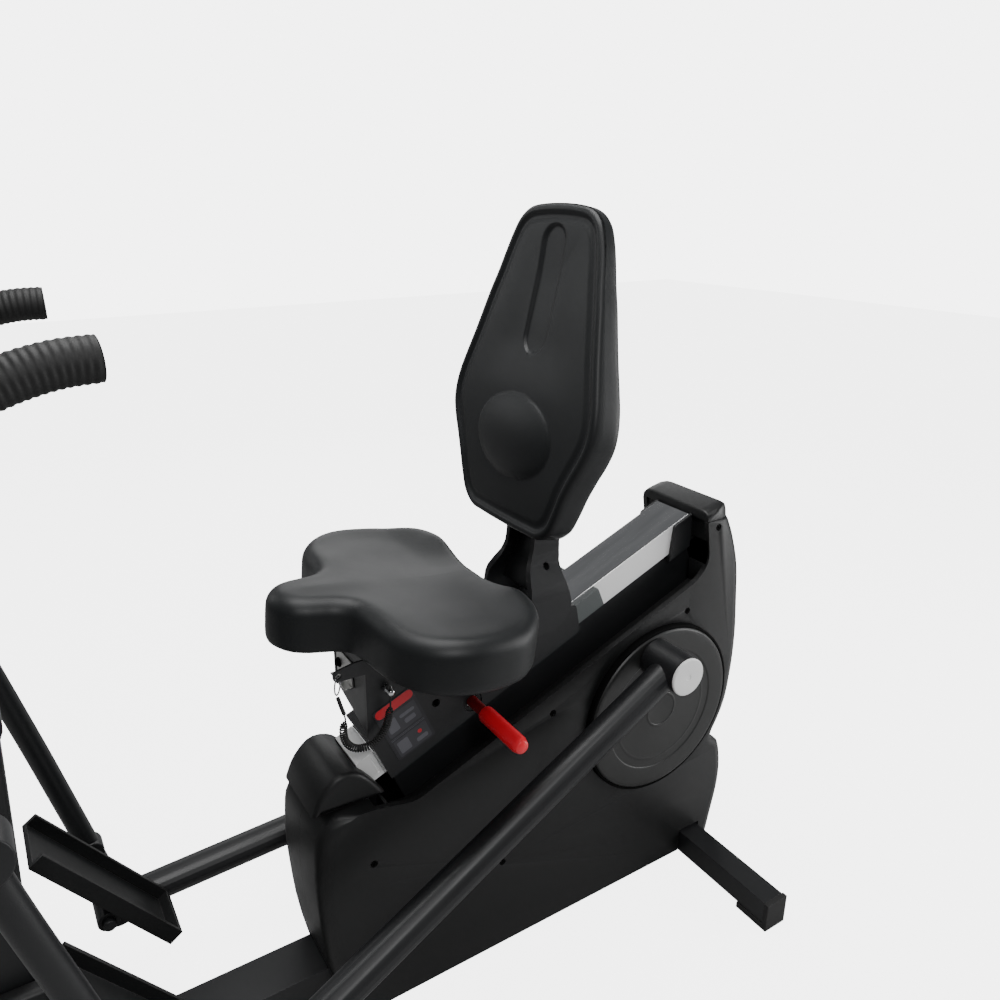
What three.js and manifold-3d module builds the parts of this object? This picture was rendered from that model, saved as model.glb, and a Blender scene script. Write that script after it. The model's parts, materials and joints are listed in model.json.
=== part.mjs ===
// Recumbent cross-trainer: saddle seat and backrest on a carriage that slides on an
// inclined rail, a rear crank drive inside a shroud, and two rods that swing the
// pedals and hand levers in front of the rider.
// Millimetres, Z up. X runs forwards, Y to the rider's left. The crank axle lies at X = 0.
import * as THREE from 'three';
import { mergeVertices } from 'three/addons/utils/BufferGeometryUtils.js';
import Module from 'manifold-3d';

const wasm = await Module();
wasm.setup();

// ---- Driving dimensions -------------------------------------------------------------
const GAP = 0.3;                    // clearance between touching pieces
const REAR_X = -204;                // rearmost face of the shroud
const FRONT_X = 1224;               // front of the transport wheels
const RAIL_SLOPE = THREE.MathUtils.degToRad(22.5);
const RAIL_TOP_Z = 683.6;           // height of the rail's top face above the crank axle
const RAIL_WIDTH = 80;
const RAIL_HEIGHT = 48;
const RAIL_WALL = 3;
const RAIL_REAR_U = -95;            // stations along the rail, from above the crank axle
const RAIL_FRONT_U = 577;
const SHROUD_HALF = 85;             // half width of the shroud
const SHROUD_WALL = 4;
const SHROUD_ROUND = 24;            // rounding of the shroud's outer edges
const RIM_Z = 578;                  // height of the trough's rim above the crank axle
const RIM_SLOPE = 0.406;            // fall of the rim per millimetre forwards
const DECK_DROP = 24;               // depth of the trough's deck below its rim
const CRANK_Z = 380;
const CRANK_RADIUS = 122;
const CRANK_ANGLE = THREE.MathUtils.degToRad(76.8);
const DISC_RADIUS = 157;
const DISC_FACE_Y = 98;
const RECESS_RADIUS = 163;
const RECESS_FLOOR_Y = 78;
const PULLEY_RADIUS = 105;
const FLYWHEEL_X = 262;
const FLYWHEEL_Z = 236;
const FLYWHEEL_RADIUS = 112;
const SMALL_PULLEY_RADIUS = 21;
const ROD_RADIUS = 25.5;
const ROD_REAR_Y = 141;             // mid-plane of the rod's rear housing
const ROD_FRONT_Y = 232;            // mid-plane of the rod's front eye
const HOUSING_RADIUS = 34;
const HOUSING_INNER_Y = 102.5;
const HOUSING_OUTER_Y = 178;
const ARM_PIVOT_X = 1017;
const ARM_PIVOT_Z = 690;
const LEFT_EYE_X = 885;             // lower pivot of the left arm at rest
const LEFT_EYE_Z = 139;
const ARM_Y = 276;                  // plane of the swing arms
const ARM_TUBE_RADIUS = 17;
const SHAFT_RADIUS = 12.5;
const SEAT_TILT = THREE.MathUtils.degToRad(7);
const SEAT_THICKNESS = 74;
const SEAT_NOSE_X = 666;
const SEAT_NOSE_Z = 742.6;            // top of the cushion at its nose
const PAD_TILT = THREE.MathUtils.degToRad(12);
const PAD_HEIGHT = 483;
const PAD_FOOT_X = 284.9;           // front face of the backrest pad at its lower edge
const PAD_FOOT_Z = 767.6;
const PAD_THICKNESS = 52;           // at the foot
const PAD_TAPER = 0.045;            // thickness lost per millimetre of height
const SHELL_THICKNESS = 14;
const CARRIAGE_HALF = 60;
const CARRIAGE_PLATE = 6;
const CARRIAGE_FRONT_U = 575;
const SKIRT_W = -48;                // lower edge of the carriage's sides, square to the rail
const LEVER_U = 410;                // station of the lock lever along the rail
const BEAM_HALF = 40;
const BEAM_BOTTOM_Z = 30;
const BEAM_TOP_Z = 92;
const STABILIZER_HALF = 306;
const REAR_STABILIZER_X = -112;
const FRONT_STABILIZER_X = 1140;
const MAST_FOOT_X = 1062;
const MAST_TOP_X = 988;
const MAST_TOP_Z = 1100;

// ---- Materials ----------------------------------------------------------------------
function paint(color, roughness, metalness) {
  return new THREE.MeshStandardMaterial({ color, roughness, metalness });
}
const satinBlack = paint(0x1a1b1d, 0.5, 0.2);
const blackPlastic = paint(0x1c1d1f, 0.62, 0);
const greyNylon = paint(0x5c6061, 0.45, 0);
const softBlack = paint(0x17181b, 0.58, 0);
const chrome = paint(0xe6e8ea, 0.08, 1);
const brushedAluminium = paint(0xc9cbcc, 0.32, 1);
const steel = paint(0x8b8c8a, 0.4, 1);
const zinc = paint(0xb9bcbd, 0.35, 1);
const castIron = paint(0x35383a, 0.55, 0.8);
const redGrip = paint(0xd3252a, 0.42, 0);
const redMetal = paint(0x8e1418, 0.45, 0.1);
const blackRubber = paint(0x151515, 0.85, 0);
const screenGlass = paint(0x0c1016, 0.12, 0);
const labelFilm = paint(0x2a2b2e, 0.5, 0);

// ---- Shape helpers ------------------------------------------------------------------
function toSolid(geometry) {
  const bare = geometry.index ? geometry.toNonIndexed() : geometry.clone();
  bare.deleteAttribute('normal');
  bare.deleteAttribute('uv');
  const merged = mergeVertices(bare, 1e-3);
  const vertProperties = new Float32Array(merged.attributes.position.array);
  const corners = [];
  for (let i = 0; i < merged.index.count; i += 3) {
    const [a, b, c] = merged.index.array.slice(i, i + 3);
    if (a !== b && b !== c && c !== a) corners.push(a, b, c);
  }
  const triVerts = new Uint32Array(corners);
  return new wasm.Manifold(new wasm.Mesh({ numProp: 3, vertProperties, triVerts }));
}

function toGeometry(solid) {
  const mesh = solid.getMesh();
  const geometry = new THREE.BufferGeometry();
  geometry.setAttribute('position', new THREE.BufferAttribute(mesh.vertProperties, 3));
  geometry.setIndex(new THREE.BufferAttribute(mesh.triVerts, 1));
  geometry.computeVertexNormals();
  return geometry;
}

function join(...geometries) {
  return geometries.map(toSolid).reduce((whole, next) => whole.add(next));
}

function cut(geometry, ...tools) {
  const body = geometry instanceof THREE.BufferGeometry ? toSolid(geometry) : geometry;
  return tools.map(toSolid).reduce((whole, next) => whole.subtract(next), body);
}

function boxAt(x0, x1, y0, y1, z0, z1) {
  const geometry = new THREE.BoxGeometry(x1 - x0, y1 - y0, z1 - z0);
  return geometry.translate((x0 + x1) / 2, (y0 + y1) / 2, (z0 + z1) / 2);
}

function cylinderY(radius, y0, y1, x, z, sides = 32) {
  const geometry = new THREE.CylinderGeometry(radius, radius, y1 - y0, sides);
  return geometry.translate(x, (y0 + y1) / 2, z);
}

function cylinderZ(radius, x, y, z0, z1, sides = 24) {
  const geometry = new THREE.CylinderGeometry(radius, radius, z1 - z0, sides);
  return geometry.rotateX(Math.PI / 2).translate(x, y, (z0 + z1) / 2);
}

function cylinderBetween(start, end, radius, sides = 20) {
  const along = end.clone().sub(start);
  const geometry = new THREE.CylinderGeometry(radius, radius, along.length(), sides);
  const turn = new THREE.Quaternion().setFromUnitVectors(
    new THREE.Vector3(0, 1, 0), along.clone().normalize());
  const middle = start.clone().add(end).multiplyScalar(0.5);
  return geometry.applyQuaternion(turn).translate(middle.x, middle.y, middle.z);
}

// Outline with rounded corners: each point is [a, b] or [a, b, corner radius].
function roundedShape(points) {
  const shape = new THREE.Shape();
  const count = points.length;
  points.forEach(([a, b, radius = 0], i) => {
    const corner = new THREE.Vector2(a, b);
    const before = new THREE.Vector2(...points[(i + count - 1) % count]).sub(corner);
    const after = new THREE.Vector2(...points[(i + 1) % count]).sub(corner);
    const reach = Math.min(radius, before.length() * 0.49, after.length() * 0.49);
    const entry = corner.clone().add(before.setLength(reach || 1e-9));
    const leave = corner.clone().add(after.setLength(reach || 1e-9));
    if (i === 0) shape.moveTo(entry.x, entry.y);
    else shape.lineTo(entry.x, entry.y);
    if (reach > 0) shape.quadraticCurveTo(a, b, leave.x, leave.y);
  });
  shape.closePath();
  return shape;
}

// An outline in X and Z, as deep as Y runs from y0 to y1.
function plateY(shape, y0, y1, curveSegments = 3, round = 0) {
  const settings = { depth: y1 - y0 - 2 * round, steps: 1, curveSegments, bevelEnabled: round > 0 };
  Object.assign(settings, { bevelThickness: round, bevelSize: round, bevelOffset: -round });
  settings.bevelSegments = 3;
  const geometry = new THREE.ExtrudeGeometry(shape, settings);
  return geometry.rotateX(Math.PI / 2).translate(0, y1 - round, 0);
}

// An outline in X and Y, as deep as Z runs from z0 to z1.
function plateZ(shape, z0, z1, curveSegments = 4, round = 0) {
  const settings = { depth: z1 - z0 - 2 * round, steps: 1, curveSegments, bevelEnabled: round > 0 };
  Object.assign(settings, { bevelThickness: round, bevelSize: round, bevelOffset: -round });
  settings.bevelSegments = 3;
  return new THREE.ExtrudeGeometry(shape, settings).translate(0, 0, z0 + round);
}

// A body lofted through outlines in X and Z that have equal numbers of points, one per Y station.
function loftY(layers) {
  const outlines = layers.map(({ shape }) => {
    const points = shape.getPoints(3);
    if (points[0].distanceTo(points[points.length - 1]) < 1e-6) points.pop();
    return THREE.ShapeUtils.isClockWise(points) ? points.reverse() : points;
  });
  const count = outlines[0].length;
  const position = [];
  outlines.forEach((points, layer) => points.forEach((p) => position.push(p.x, layers[layer].y, p.y)));
  const index = [];
  for (let base = 0; base < (layers.length - 1) * count; base += count) {
    for (let i = 0; i < count; i += 1) {
      const a = base + i;
      const b = base + ((i + 1) % count);
      index.push(a, a + count, b, b, a + count, b + count);
    }
  }
  const last = (layers.length - 1) * count;
  THREE.ShapeUtils.triangulateShape(outlines[0], []).forEach(([a, b, c]) => index.push(a, b, c));
  THREE.ShapeUtils.triangulateShape(outlines[layers.length - 1], []).forEach(([a, b, c]) =>
    index.push(last + c, last + b, last + a));
  const geometry = new THREE.BufferGeometry();
  geometry.setAttribute('position', new THREE.Float32BufferAttribute(position, 3));
  return geometry.setIndex(index);
}

// A profile of [radius, height] points turned about Y.
function turned(profile, y, x, z, sides = 36) {
  const points = profile.map(([radius, height]) => new THREE.Vector2(radius, height));
  return new THREE.LatheGeometry(points, sides).translate(x, y, z);
}

function circleShape(radius, sides) {
  const points = [];
  for (let i = 0; i < sides; i += 1) {
    const angle = (2 * Math.PI * i) / sides;
    points.push(new THREE.Vector2(radius * Math.cos(angle), radius * Math.sin(angle)));
  }
  return new THREE.Shape(points);
}

function tubeOn(path, radius, sides, steps) {
  return new THREE.ExtrudeGeometry(circleShape(radius, sides), { steps, extrudePath: path });
}

function tubeAlong(points, radius, sides, steps) {
  const stations = points.map((p) => new THREE.Vector3(...p));
  return tubeOn(new THREE.CatmullRomCurve3(stations, false, 'centripetal'), radius, sides, steps);
}

function mirrorY(geometry) {
  const flipped = geometry.index ? geometry.toNonIndexed() : geometry.clone();
  flipped.deleteAttribute('normal');
  flipped.applyMatrix4(new THREE.Matrix4().makeScale(1, -1, 1));
  const { array } = flipped.attributes.position;
  for (let i = 0; i < array.length; i += 9) {
    const second = array.slice(i + 3, i + 6);
    array.copyWithin(i + 3, i + 6, i + 9);
    array.set(second, i + 6);
  }
  return mergeVertices(flipped, 1e-3);
}

// ---- Assembly -----------------------------------------------------------------------
const machine = new THREE.Group();
machine.position.x = -(REAR_X + FRONT_X) / 2;

const railGroup = new THREE.Group();      // local X down the rail, local Z square to it
railGroup.rotation.y = RAIL_SLOPE;
railGroup.position.z = RAIL_TOP_Z;
machine.add(railGroup);

function add(name, shape, material, parent = machine) {
  const solid = shape instanceof THREE.BufferGeometry ? toSolid(shape) : shape;
  const geometry = toGeometry(solid);
  const mesh = new THREE.Mesh(geometry, material);
  mesh.name = name;
  parent.add(mesh);
  return mesh;
}

function railToMachine(u, w) {
  const x = u * Math.cos(RAIL_SLOPE) + w * Math.sin(RAIL_SLOPE);
  const z = RAIL_TOP_Z - u * Math.sin(RAIL_SLOPE) + w * Math.cos(RAIL_SLOPE);
  return [x, z];
}

const rimHeight = (x) => RIM_Z - RIM_SLOPE * x;

// ---- Floor frame --------------------------------------------------------------------
const beamShell = boxAt(-150, FRONT_STABILIZER_X - 23, -BEAM_HALF, BEAM_HALF, BEAM_BOTTOM_Z, BEAM_TOP_Z);
const beamBore = boxAt(-160, FRONT_STABILIZER_X, -BEAM_HALF + 4, BEAM_HALF - 4,
  BEAM_BOTTOM_Z + 4, BEAM_TOP_Z - 4);
const rearSaddle = boxAt(REAR_STABILIZER_X - 24, REAR_STABILIZER_X + 24, -60, 60, 0, 57 + GAP);
add('main_beam', cut(beamShell, beamBore, rearSaddle), satinBlack);

const STABILIZER_LOW_Z = 12;
const STABILIZER_HIGH_Z = 57;
function stabilizerTube(x) {
  const tube = boxAt(x - 23, x + 23, -STABILIZER_HALF + 6, STABILIZER_HALF - 6,
    STABILIZER_LOW_Z, STABILIZER_HIGH_Z);
  const bore = boxAt(x - 19, x + 19, -STABILIZER_HALF, STABILIZER_HALF,
    STABILIZER_LOW_Z + 4, STABILIZER_HIGH_Z - 4);
  return cut(tube, bore);
}
add('rear_stabilizer', stabilizerTube(REAR_STABILIZER_X), satinBlack);

const WHEEL_RADIUS = 28;
const WHEEL_X = FRONT_X - WHEEL_RADIUS;
const WHEEL_Z = 34;
const WHEEL_Y = 205;
const wheelBrackets = [-1, 1].map((side) => {
  const ear = roundedShape([[FRONT_STABILIZER_X + 20, 14], [WHEEL_X + 12, 20, 10],
    [WHEEL_X + 12, 48, 10], [FRONT_STABILIZER_X + 20, 55]]);
  return plateY(ear, side * (WHEEL_Y - 26) - 3, side * (WHEEL_Y - 26) + 3);
});
const wheelAxleBore = cylinderY(7, -WHEEL_Y, WHEEL_Y, WHEEL_X, WHEEL_Z, 10);
const frontTube = stabilizerTube(FRONT_STABILIZER_X + GAP);
add('front_stabilizer', cut(frontTube.add(join(...wheelBrackets)), wheelAxleBore), satinBlack);

const wheelProfile = [[0, -11], [25, -11], [WHEEL_RADIUS, -7], [WHEEL_RADIUS, 7], [25, 11], [0, 11]];
const wheels = [-1, 1].map((side) => turned(wheelProfile, side * WHEEL_Y, WHEEL_X, WHEEL_Z, 18));
const wheelAxle = cylinderY(6, -WHEEL_Y, WHEEL_Y, WHEEL_X, WHEEL_Z, 10);
add('transport_wheels', join(wheelAxle, ...wheels), blackRubber);

// A moulded foot closes each end of a stabilizer and carries it clear of the floor.
function endFoot(x, side) {
  const reach = (inner, outer) => [side * inner, side * outer].sort((a, b) => a - b);
  const [capLow, capHigh] = reach(STABILIZER_HALF - 6 + GAP, STABILIZER_HALF + 4);
  const [padLow, padHigh] = reach(STABILIZER_HALF - 66, STABILIZER_HALF + 4);
  const cap = boxAt(x - 25, x + 25, capLow, capHigh, 3, STABILIZER_HIGH_Z + 1);
  return join(cap, boxAt(x - 25, x + 25, padLow, padHigh, 0, STABILIZER_LOW_Z - GAP));
}
add('foot_rear_left', endFoot(REAR_STABILIZER_X, 1), blackRubber);
add('foot_rear_right', endFoot(REAR_STABILIZER_X, -1), blackRubber);
add('foot_front_left', endFoot(FRONT_STABILIZER_X + GAP, 1), blackRubber);
add('foot_front_right', endFoot(FRONT_STABILIZER_X + GAP, -1), blackRubber);

// ---- Drive frame: two upright plates that carry the crank, the flywheel and the rail ---
const PLATE_Y = 47;
const PLATE_THICK = 5;
const BEARING_RADIUS = 26;
const railUnderside = (x) => RAIL_TOP_Z - (x * Math.tan(RAIL_SLOPE)) - 132 / Math.cos(RAIL_SLOPE);
const plateOutline = roundedShape([[-118, BEAM_TOP_Z + GAP], [330, BEAM_TOP_Z + GAP], [330, 190, 30],
  [312, 394, 12],
  [212, 394, 12], [110, 380, 40], [60, railUnderside(60), 6], [-96, railUnderside(-96), 6], [-120, 420, 30]]);
const drivePlates = [-1, 1].map((side) => {
  const plate = plateY(plateOutline, side * PLATE_Y - PLATE_THICK / 2, side * PLATE_Y + PLATE_THICK / 2);
  const bearingBore = cylinderY(BEARING_RADIUS + GAP, -70, 70, 0, CRANK_Z, 24);
  const shaftBore = cylinderY(11, -70, 70, FLYWHEEL_X, FLYWHEEL_Z, 14);
  return cut(plate, bearingBore, shaftBore);
});
const spreaderPlaces = [[-100, 470], [-100, 130], [318, 112]];
const spreaders = spreaderPlaces.map(([x, z]) => cylinderY(9, -PLATE_Y, PLATE_Y, x, z, 8));
const driveFrame = drivePlates.reduce((all, plate) => all.add(plate)).add(join(...spreaders));
add('drive_frame', driveFrame, satinBlack);

const railSupport = boxAt(500, 545, -30, 30, BEAM_TOP_Z + GAP, 420);
const supportBore = boxAt(504, 541, -26, 26, 60, 460);
const railSide = boxAt(400, 640, -60, 60, -131.7, 0);
const railMatrix = new THREE.Matrix4().makeRotationY(RAIL_SLOPE).setPosition(0, 0, RAIL_TOP_Z);
const supportCut = railSide.applyMatrix4(railMatrix);
add('rail_front_post', cut(railSupport, supportBore, supportCut), satinBlack);

// ---- Rail ---------------------------------------------------------------------------
const half = RAIL_WIDTH / 2;
const railTube = boxAt(RAIL_REAR_U, RAIL_FRONT_U, -half, half, -RAIL_HEIGHT, 0);
const railBore = boxAt(RAIL_REAR_U - 5, RAIL_FRONT_U + 5, -half + RAIL_WALL, half - RAIL_WALL,
  -RAIL_HEIGHT + RAIL_WALL, -RAIL_WALL);
const lockHoles = [];
const LOCK_PITCH = 20;
for (let u = 150; u <= 440; u += LOCK_PITCH) {
  lockHoles.push(cylinderY(5, half - 8, half + 4, u, -23.5, 10));
}
add('seat_rail', cut(railTube, railBore, ...lockHoles), chrome, railGroup);

const baseTop = -RAIL_HEIGHT - GAP;
const CLAMP_ROOM = 10;              // the base drops this much behind CLAMP_U, under the end clamp
const CLAMP_U = -20;
function baseOutline(rearU, frontU, bottomW, topW) {
  return roundedShape([[rearU, bottomW], [frontU, bottomW], [frontU, topW], [CLAMP_U, topW],
    [CLAMP_U, topW - CLAMP_ROOM], [rearU, topW - CLAMP_ROOM]]);
}
const railBase = plateY(baseOutline(-78, 570, -131, baseTop), -32, 32);
const baseHollow = plateY(baseOutline(-90, 580, -140, baseTop - 5), -28, 28);
add('rail_base', cut(railBase, baseHollow), satinBlack, railGroup);

const BRACKET_REAR_U = RAIL_FRONT_U + GAP;
const BRACKET_FRONT_U = 608;
const bracketShape = roundedShape([[BRACKET_REAR_U, -RAIL_HEIGHT], [BRACKET_FRONT_U, -RAIL_HEIGHT, 2],
  [BRACKET_FRONT_U, 0, 2], [BRACKET_REAR_U, 0]]);
const bracketSlots = [-1, 1].map((side) => {
  const y = side * half;
  return boxAt(583, 586, y - 2, y + 2, -RAIL_HEIGHT + 8, -8);
});
add('rail_end_bracket', cut(plateY(bracketShape, -half, half), ...bracketSlots), brushedAluminium, railGroup);

// A clamp under the rail's rear end, with a cheek on each side that stands upright at its front.
const endShape = roundedShape([[-75, -58], [-24, -58], [-56, -0.5, 3], [-98, -0.5]]);
const endBlock = plateY(endShape, -half - 6, half + 6);
const blockChannel = boxAt(-110, 0, -half - GAP, half + GAP, -RAIL_HEIGHT - GAP, 5);
add('rail_end_block', cut(endBlock, blockChannel), satinBlack, railGroup);

// ---- Crank and drive ----------------------------------------------------------------
const AXLE_RADIUS = 12.5;
const crankGroup = new THREE.Group();
crankGroup.position.z = CRANK_Z;
machine.add(crankGroup);

for (const [side, name] of [[1, 'crank_bearing_left'], [-1, 'crank_bearing_right']]) {
  const ring = cylinderY(BEARING_RADIUS, side * PLATE_Y - 8, side * PLATE_Y + 8, 0, CRANK_Z, 24);
  add(name, cut(ring, cylinderY(AXLE_RADIUS + 2 * GAP, -80, 80, 0, CRANK_Z, 20)), steel);
}

add('crank_axle', cylinderY(AXLE_RADIUS, -83.5, 83.5, 0, 0, 20), steel, crankGroup);

const PULLEY_Y = 22;
const hubRadius = AXLE_RADIUS + 2 * GAP;
const pulleyProfile = [[hubRadius, -9], [PULLEY_RADIUS, -9], [PULLEY_RADIUS, 9], [PULLEY_RADIUS - 12, 9],
  [PULLEY_RADIUS - 12, -3], [28, -3], [28, 9], [hubRadius, 9], [hubRadius, -9]];
add('drive_pulley', turned(pulleyProfile, PULLEY_Y, 0, 0, 32), castIron, crankGroup);

// A cover disc with a raised field, a hub boss, six screw seats and the short crank pin.
function crankDisc() {
  const inner = DISC_FACE_Y - 14;
  const plate = turned([[0, 0], [DISC_RADIUS, 0], [DISC_RADIUS, 11], [DISC_RADIUS - 3, 14], [118, 14],
    [116, 12.6], [33, 12.6], [30, 18], [0, 18]], inner, 0, 0, 44);
  const pinX = CRANK_RADIUS * Math.cos(CRANK_ANGLE);
  const pinZ = CRANK_RADIUS * Math.sin(CRANK_ANGLE);
  const pin = cylinderY(15, DISC_FACE_Y - 5, HOUSING_INNER_Y - 1, pinX, pinZ, 16);
  const seats = [];
  for (let i = 0; i < 6; i += 1) {
    const angle = THREE.MathUtils.degToRad(-20 + 60 * i);
    const [x, z] = [SEAT_CIRCLE * Math.cos(angle), SEAT_CIRCLE * Math.sin(angle)];
    seats.push(cylinderY(4, DISC_FACE_Y - 3, DISC_FACE_Y + 5, x, z, 8));
  }
  return toGeometry(cut(join(plate, pin), ...seats));
}
const SEAT_CIRCLE = 137;            // radius of the screw seats' circle
const discGeometry = crankDisc();
add('crank_disc_left', discGeometry, blackPlastic, crankGroup);
add('crank_disc_right', mirrorY(discGeometry), blackPlastic, crankGroup).rotation.y = Math.PI;

const flywheelProfile = [[10 + GAP, -22], [28, -22], [28, -6], [86, -6], [86, -20], [FLYWHEEL_RADIUS, -20],
  [FLYWHEEL_RADIUS, 14], [86, 14], [86, 6], [10 + GAP, 6], [10 + GAP, -22]];
add('flywheel', turned(flywheelProfile, -22, FLYWHEEL_X, FLYWHEEL_Z, 32), castIron);
const flywheelShaft = cylinderY(10, -60, 60, FLYWHEEL_X, FLYWHEEL_Z, 16);
const smallPulley = cylinderY(SMALL_PULLEY_RADIUS, PULLEY_Y - 9, PULLEY_Y + 9, FLYWHEEL_X, FLYWHEEL_Z, 20);
add('flywheel_shaft', join(flywheelShaft, smallPulley), steel);

// Open belt round two pulleys: arcs joined by the two outer tangents.
function beltOutline(gap) {
  const big = PULLEY_RADIUS + gap;
  const small = SMALL_PULLEY_RADIUS + gap;
  const dx = FLYWHEEL_X;
  const dz = FLYWHEEL_Z - CRANK_Z;
  const line = Math.atan2(dz, dx);
  const spread = Math.acos((big - small) / Math.hypot(dx, dz));
  const shape = new THREE.Shape();
  shape.absarc(0, CRANK_Z, big, line + spread, line - spread + 2 * Math.PI, false);
  shape.absarc(dx, FLYWHEEL_Z, small, line - spread, line + spread, false);
  shape.closePath();
  return shape;
}
const beltOuter = plateY(beltOutline(3.5 + GAP), PULLEY_Y - 8, PULLEY_Y + 8, 12);
const beltInner = plateY(beltOutline(1.2), PULLEY_Y - 20, PULLEY_Y + 20, 12);
add('drive_belt', cut(beltOuter, beltInner), blackRubber);

const brakeOutline = roundedShape([[FLYWHEEL_X - 40, 352], [FLYWHEEL_X + 40, 352],
  [FLYWHEEL_X + 40, 392, 8], [FLYWHEEL_X - 40, 392, 8]]);
add('magnet_brake', plateY(brakeOutline, -44, -8), steel);

// ---- Shroud -------------------------------------------------------------------------
const TOWER_FRONT_X = -92;
const TOWER_TOP_Z = 716;
const SKIRT_Z = 14;                 // open lower edge of the shroud
const deckZ = (x) => rimHeight(x) - DECK_DROP;

// Side view of the shroud; the inset draws its rear, front and top edges in.
function shroudOutline(inset) {
  const rear = [[-184, 61, 30], [-197, 130, 40], [-198, 180, 30], [-187, 231, 12], [-158, 252, 16],
    [-194, 318, 40], [-204, 410, 40], [-204, 480, 60],
    [-190, 619, 60], [-168, 683, 30], [-152, TOWER_TOP_Z, 8]].map(([x, z, r]) => [x + inset, z, r]);
  const front = [[612, 400, 20], [640, 372, 24], [648, 290, 60], [640, 140, 60], [614, SKIRT_Z]]
    .map(([x, z, r]) => [x - inset, z, r]);
  return roundedShape([[-174 + inset, SKIRT_Z], ...rear, [TOWER_FRONT_X, TOWER_TOP_Z, 3], [-104, 640, 20],
    [-80, rimHeight(-80), 20], [486, rimHeight(486) + 2, 16], [545, 396, 18], ...front]);
}
const edgeSteps = [[SHROUD_ROUND, 0], [0.62 * SHROUD_ROUND, 0.05], [0.3 * SHROUD_ROUND, 0.3], [0, 1]];

// A body whose side edges are rounded by drawing its outline in as it nears each side.
function softSided(outline, halfWidth) {
  const layers = edgeSteps.map(([drop, inset]) => ({
    y: halfWidth - drop,
    shape: outline(SHROUD_ROUND * inset),
  }));
  const mirrored = layers.map(({ y, shape }) => ({ y: -y, shape })).reverse();
  return loftY([...mirrored, ...layers]);
}
const shroudBlock = softSided(shroudOutline, SHROUD_HALF);

function interiorOutline(inset) {
  const rear = [[-166, -10], [-178, 61, 30], [-191, 130, 40], [-192, 180, 30], [-181, 228, 12],
    [-152, 251, 16], [-187, 318, 40], [-198, 410, 40],
    [-198, 480, 60], [-184, 619, 60], [-158, 690, 10]].map(([x, z, r]) => [x + inset, z, r]);
  const front = [[612, 386, 16], [634, 366, 20], [642, 290, 50], [634, 140, 50], [606, -10]]
    .map(([x, z, r]) => [x - inset, z, r]);
  const towerX = TOWER_FRONT_X - 6;
  return roundedShape([...rear, [towerX, 690], [towerX, deckZ(-90) - 4], [480, deckZ(480) - 4],
    [560, 380, 10], ...front]);
}
const innerFace = SHROUD_HALF - SHROUD_WALL;
const innerStations = [[-innerFace, 20], [-innerFace + 18, 1], [innerFace - 18, 1], [innerFace, 20]];
const interior = loftY(innerStations.map(([y, inset]) => ({ y, shape: interiorOutline(inset) })));
const troughOutline = roundedShape([[-97, deckZ(-97)], [480, deckZ(480), 20], [548, 372, 20], [556, 480],
  [-97, 760]]);
const trough = plateY(troughOutline, -SHROUD_HALF + 10, SHROUD_HALF - 10, 3);
const railSlotOutline = roundedShape([[-116, 500], [-116, 706], [-91, 706], [-91, 760], [556, 480],
  [556, 250], [400, 320]]);
const railSlot = plateY(railSlotOutline, -42, 42);
const dish = cylinderY(RECESS_RADIUS + 4, RECESS_FLOOR_Y, SHROUD_HALF - 0.5, 0, CRANK_Z, 44);
const dishBore = cylinderY(RECESS_RADIUS, RECESS_FLOOR_Y + 4, SHROUD_HALF + 20, 0, CRANK_Z, 44);
const hubBore = cylinderY(34, 60, 120, 0, CRANK_Z, 20);
const SHROUD_SCREWS = [[-58, 556], [232, 448], [-118, 702], [330, 190], [560, 300]];
const screwSeats = SHROUD_SCREWS.map(([x, z]) => cylinderY(6.5, SHROUD_HALF - 3, SHROUD_HALF + 10, x, z, 10));
const leftHalf = toSolid(boxAt(-300, 700, GAP / 2, 200, 0, 900));
const beamSlot = boxAt(560, 700, -BEAM_HALF - 3, BEAM_HALF + 3, 0, BEAM_TOP_Z + 3);
const stabilizerSlot = boxAt(REAR_STABILIZER_X - 26, REAR_STABILIZER_X + 26, -200, 200, 0, 62);

function shroudHalf() {
  const shell = cut(shroudBlock, interior);
  const withDish = shell.add(toSolid(dish));
  const openings = [dishBore, hubBore, trough, railSlot, beamSlot, stabilizerSlot];
  return cut(withDish, ...openings, ...screwSeats).intersect(leftHalf);
}
const shroudLeft = toGeometry(shroudHalf());
add('shroud_left', shroudLeft, blackPlastic);
add('shroud_right', mirrorY(shroudLeft), blackPlastic);

// The cap's outline, drawn in from the rear and, less, from above.
const CAP_BASE_Z = TOWER_TOP_Z + GAP;
function capOutline(inset) {
  const lower = 0.45 * inset;
  return roundedShape([[-150 + inset, CAP_BASE_Z], [TOWER_FRONT_X, CAP_BASE_Z],
    [TOWER_FRONT_X, 734 - lower, 4], [-137 + inset, 743 - lower, 5], [-147 + inset, 738 - lower, 5]]);
}
add('rear_cap', softSided(capOutline, SHROUD_HALF - 1), blackPlastic);

const hoodShape = roundedShape([[524, 399.4], [540, 424, 14], [562, 452, 20], [598, 460, 24],
  [628, 430, 26], [640, 399.4]]);
const hoodPocket = boxAt(500, 562, -half - 2, half + 2, 380, 500);
add('front_hood', cut(plateY(hoodShape, -62, 62, 3, 8), hoodPocket), blackPlastic);

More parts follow.
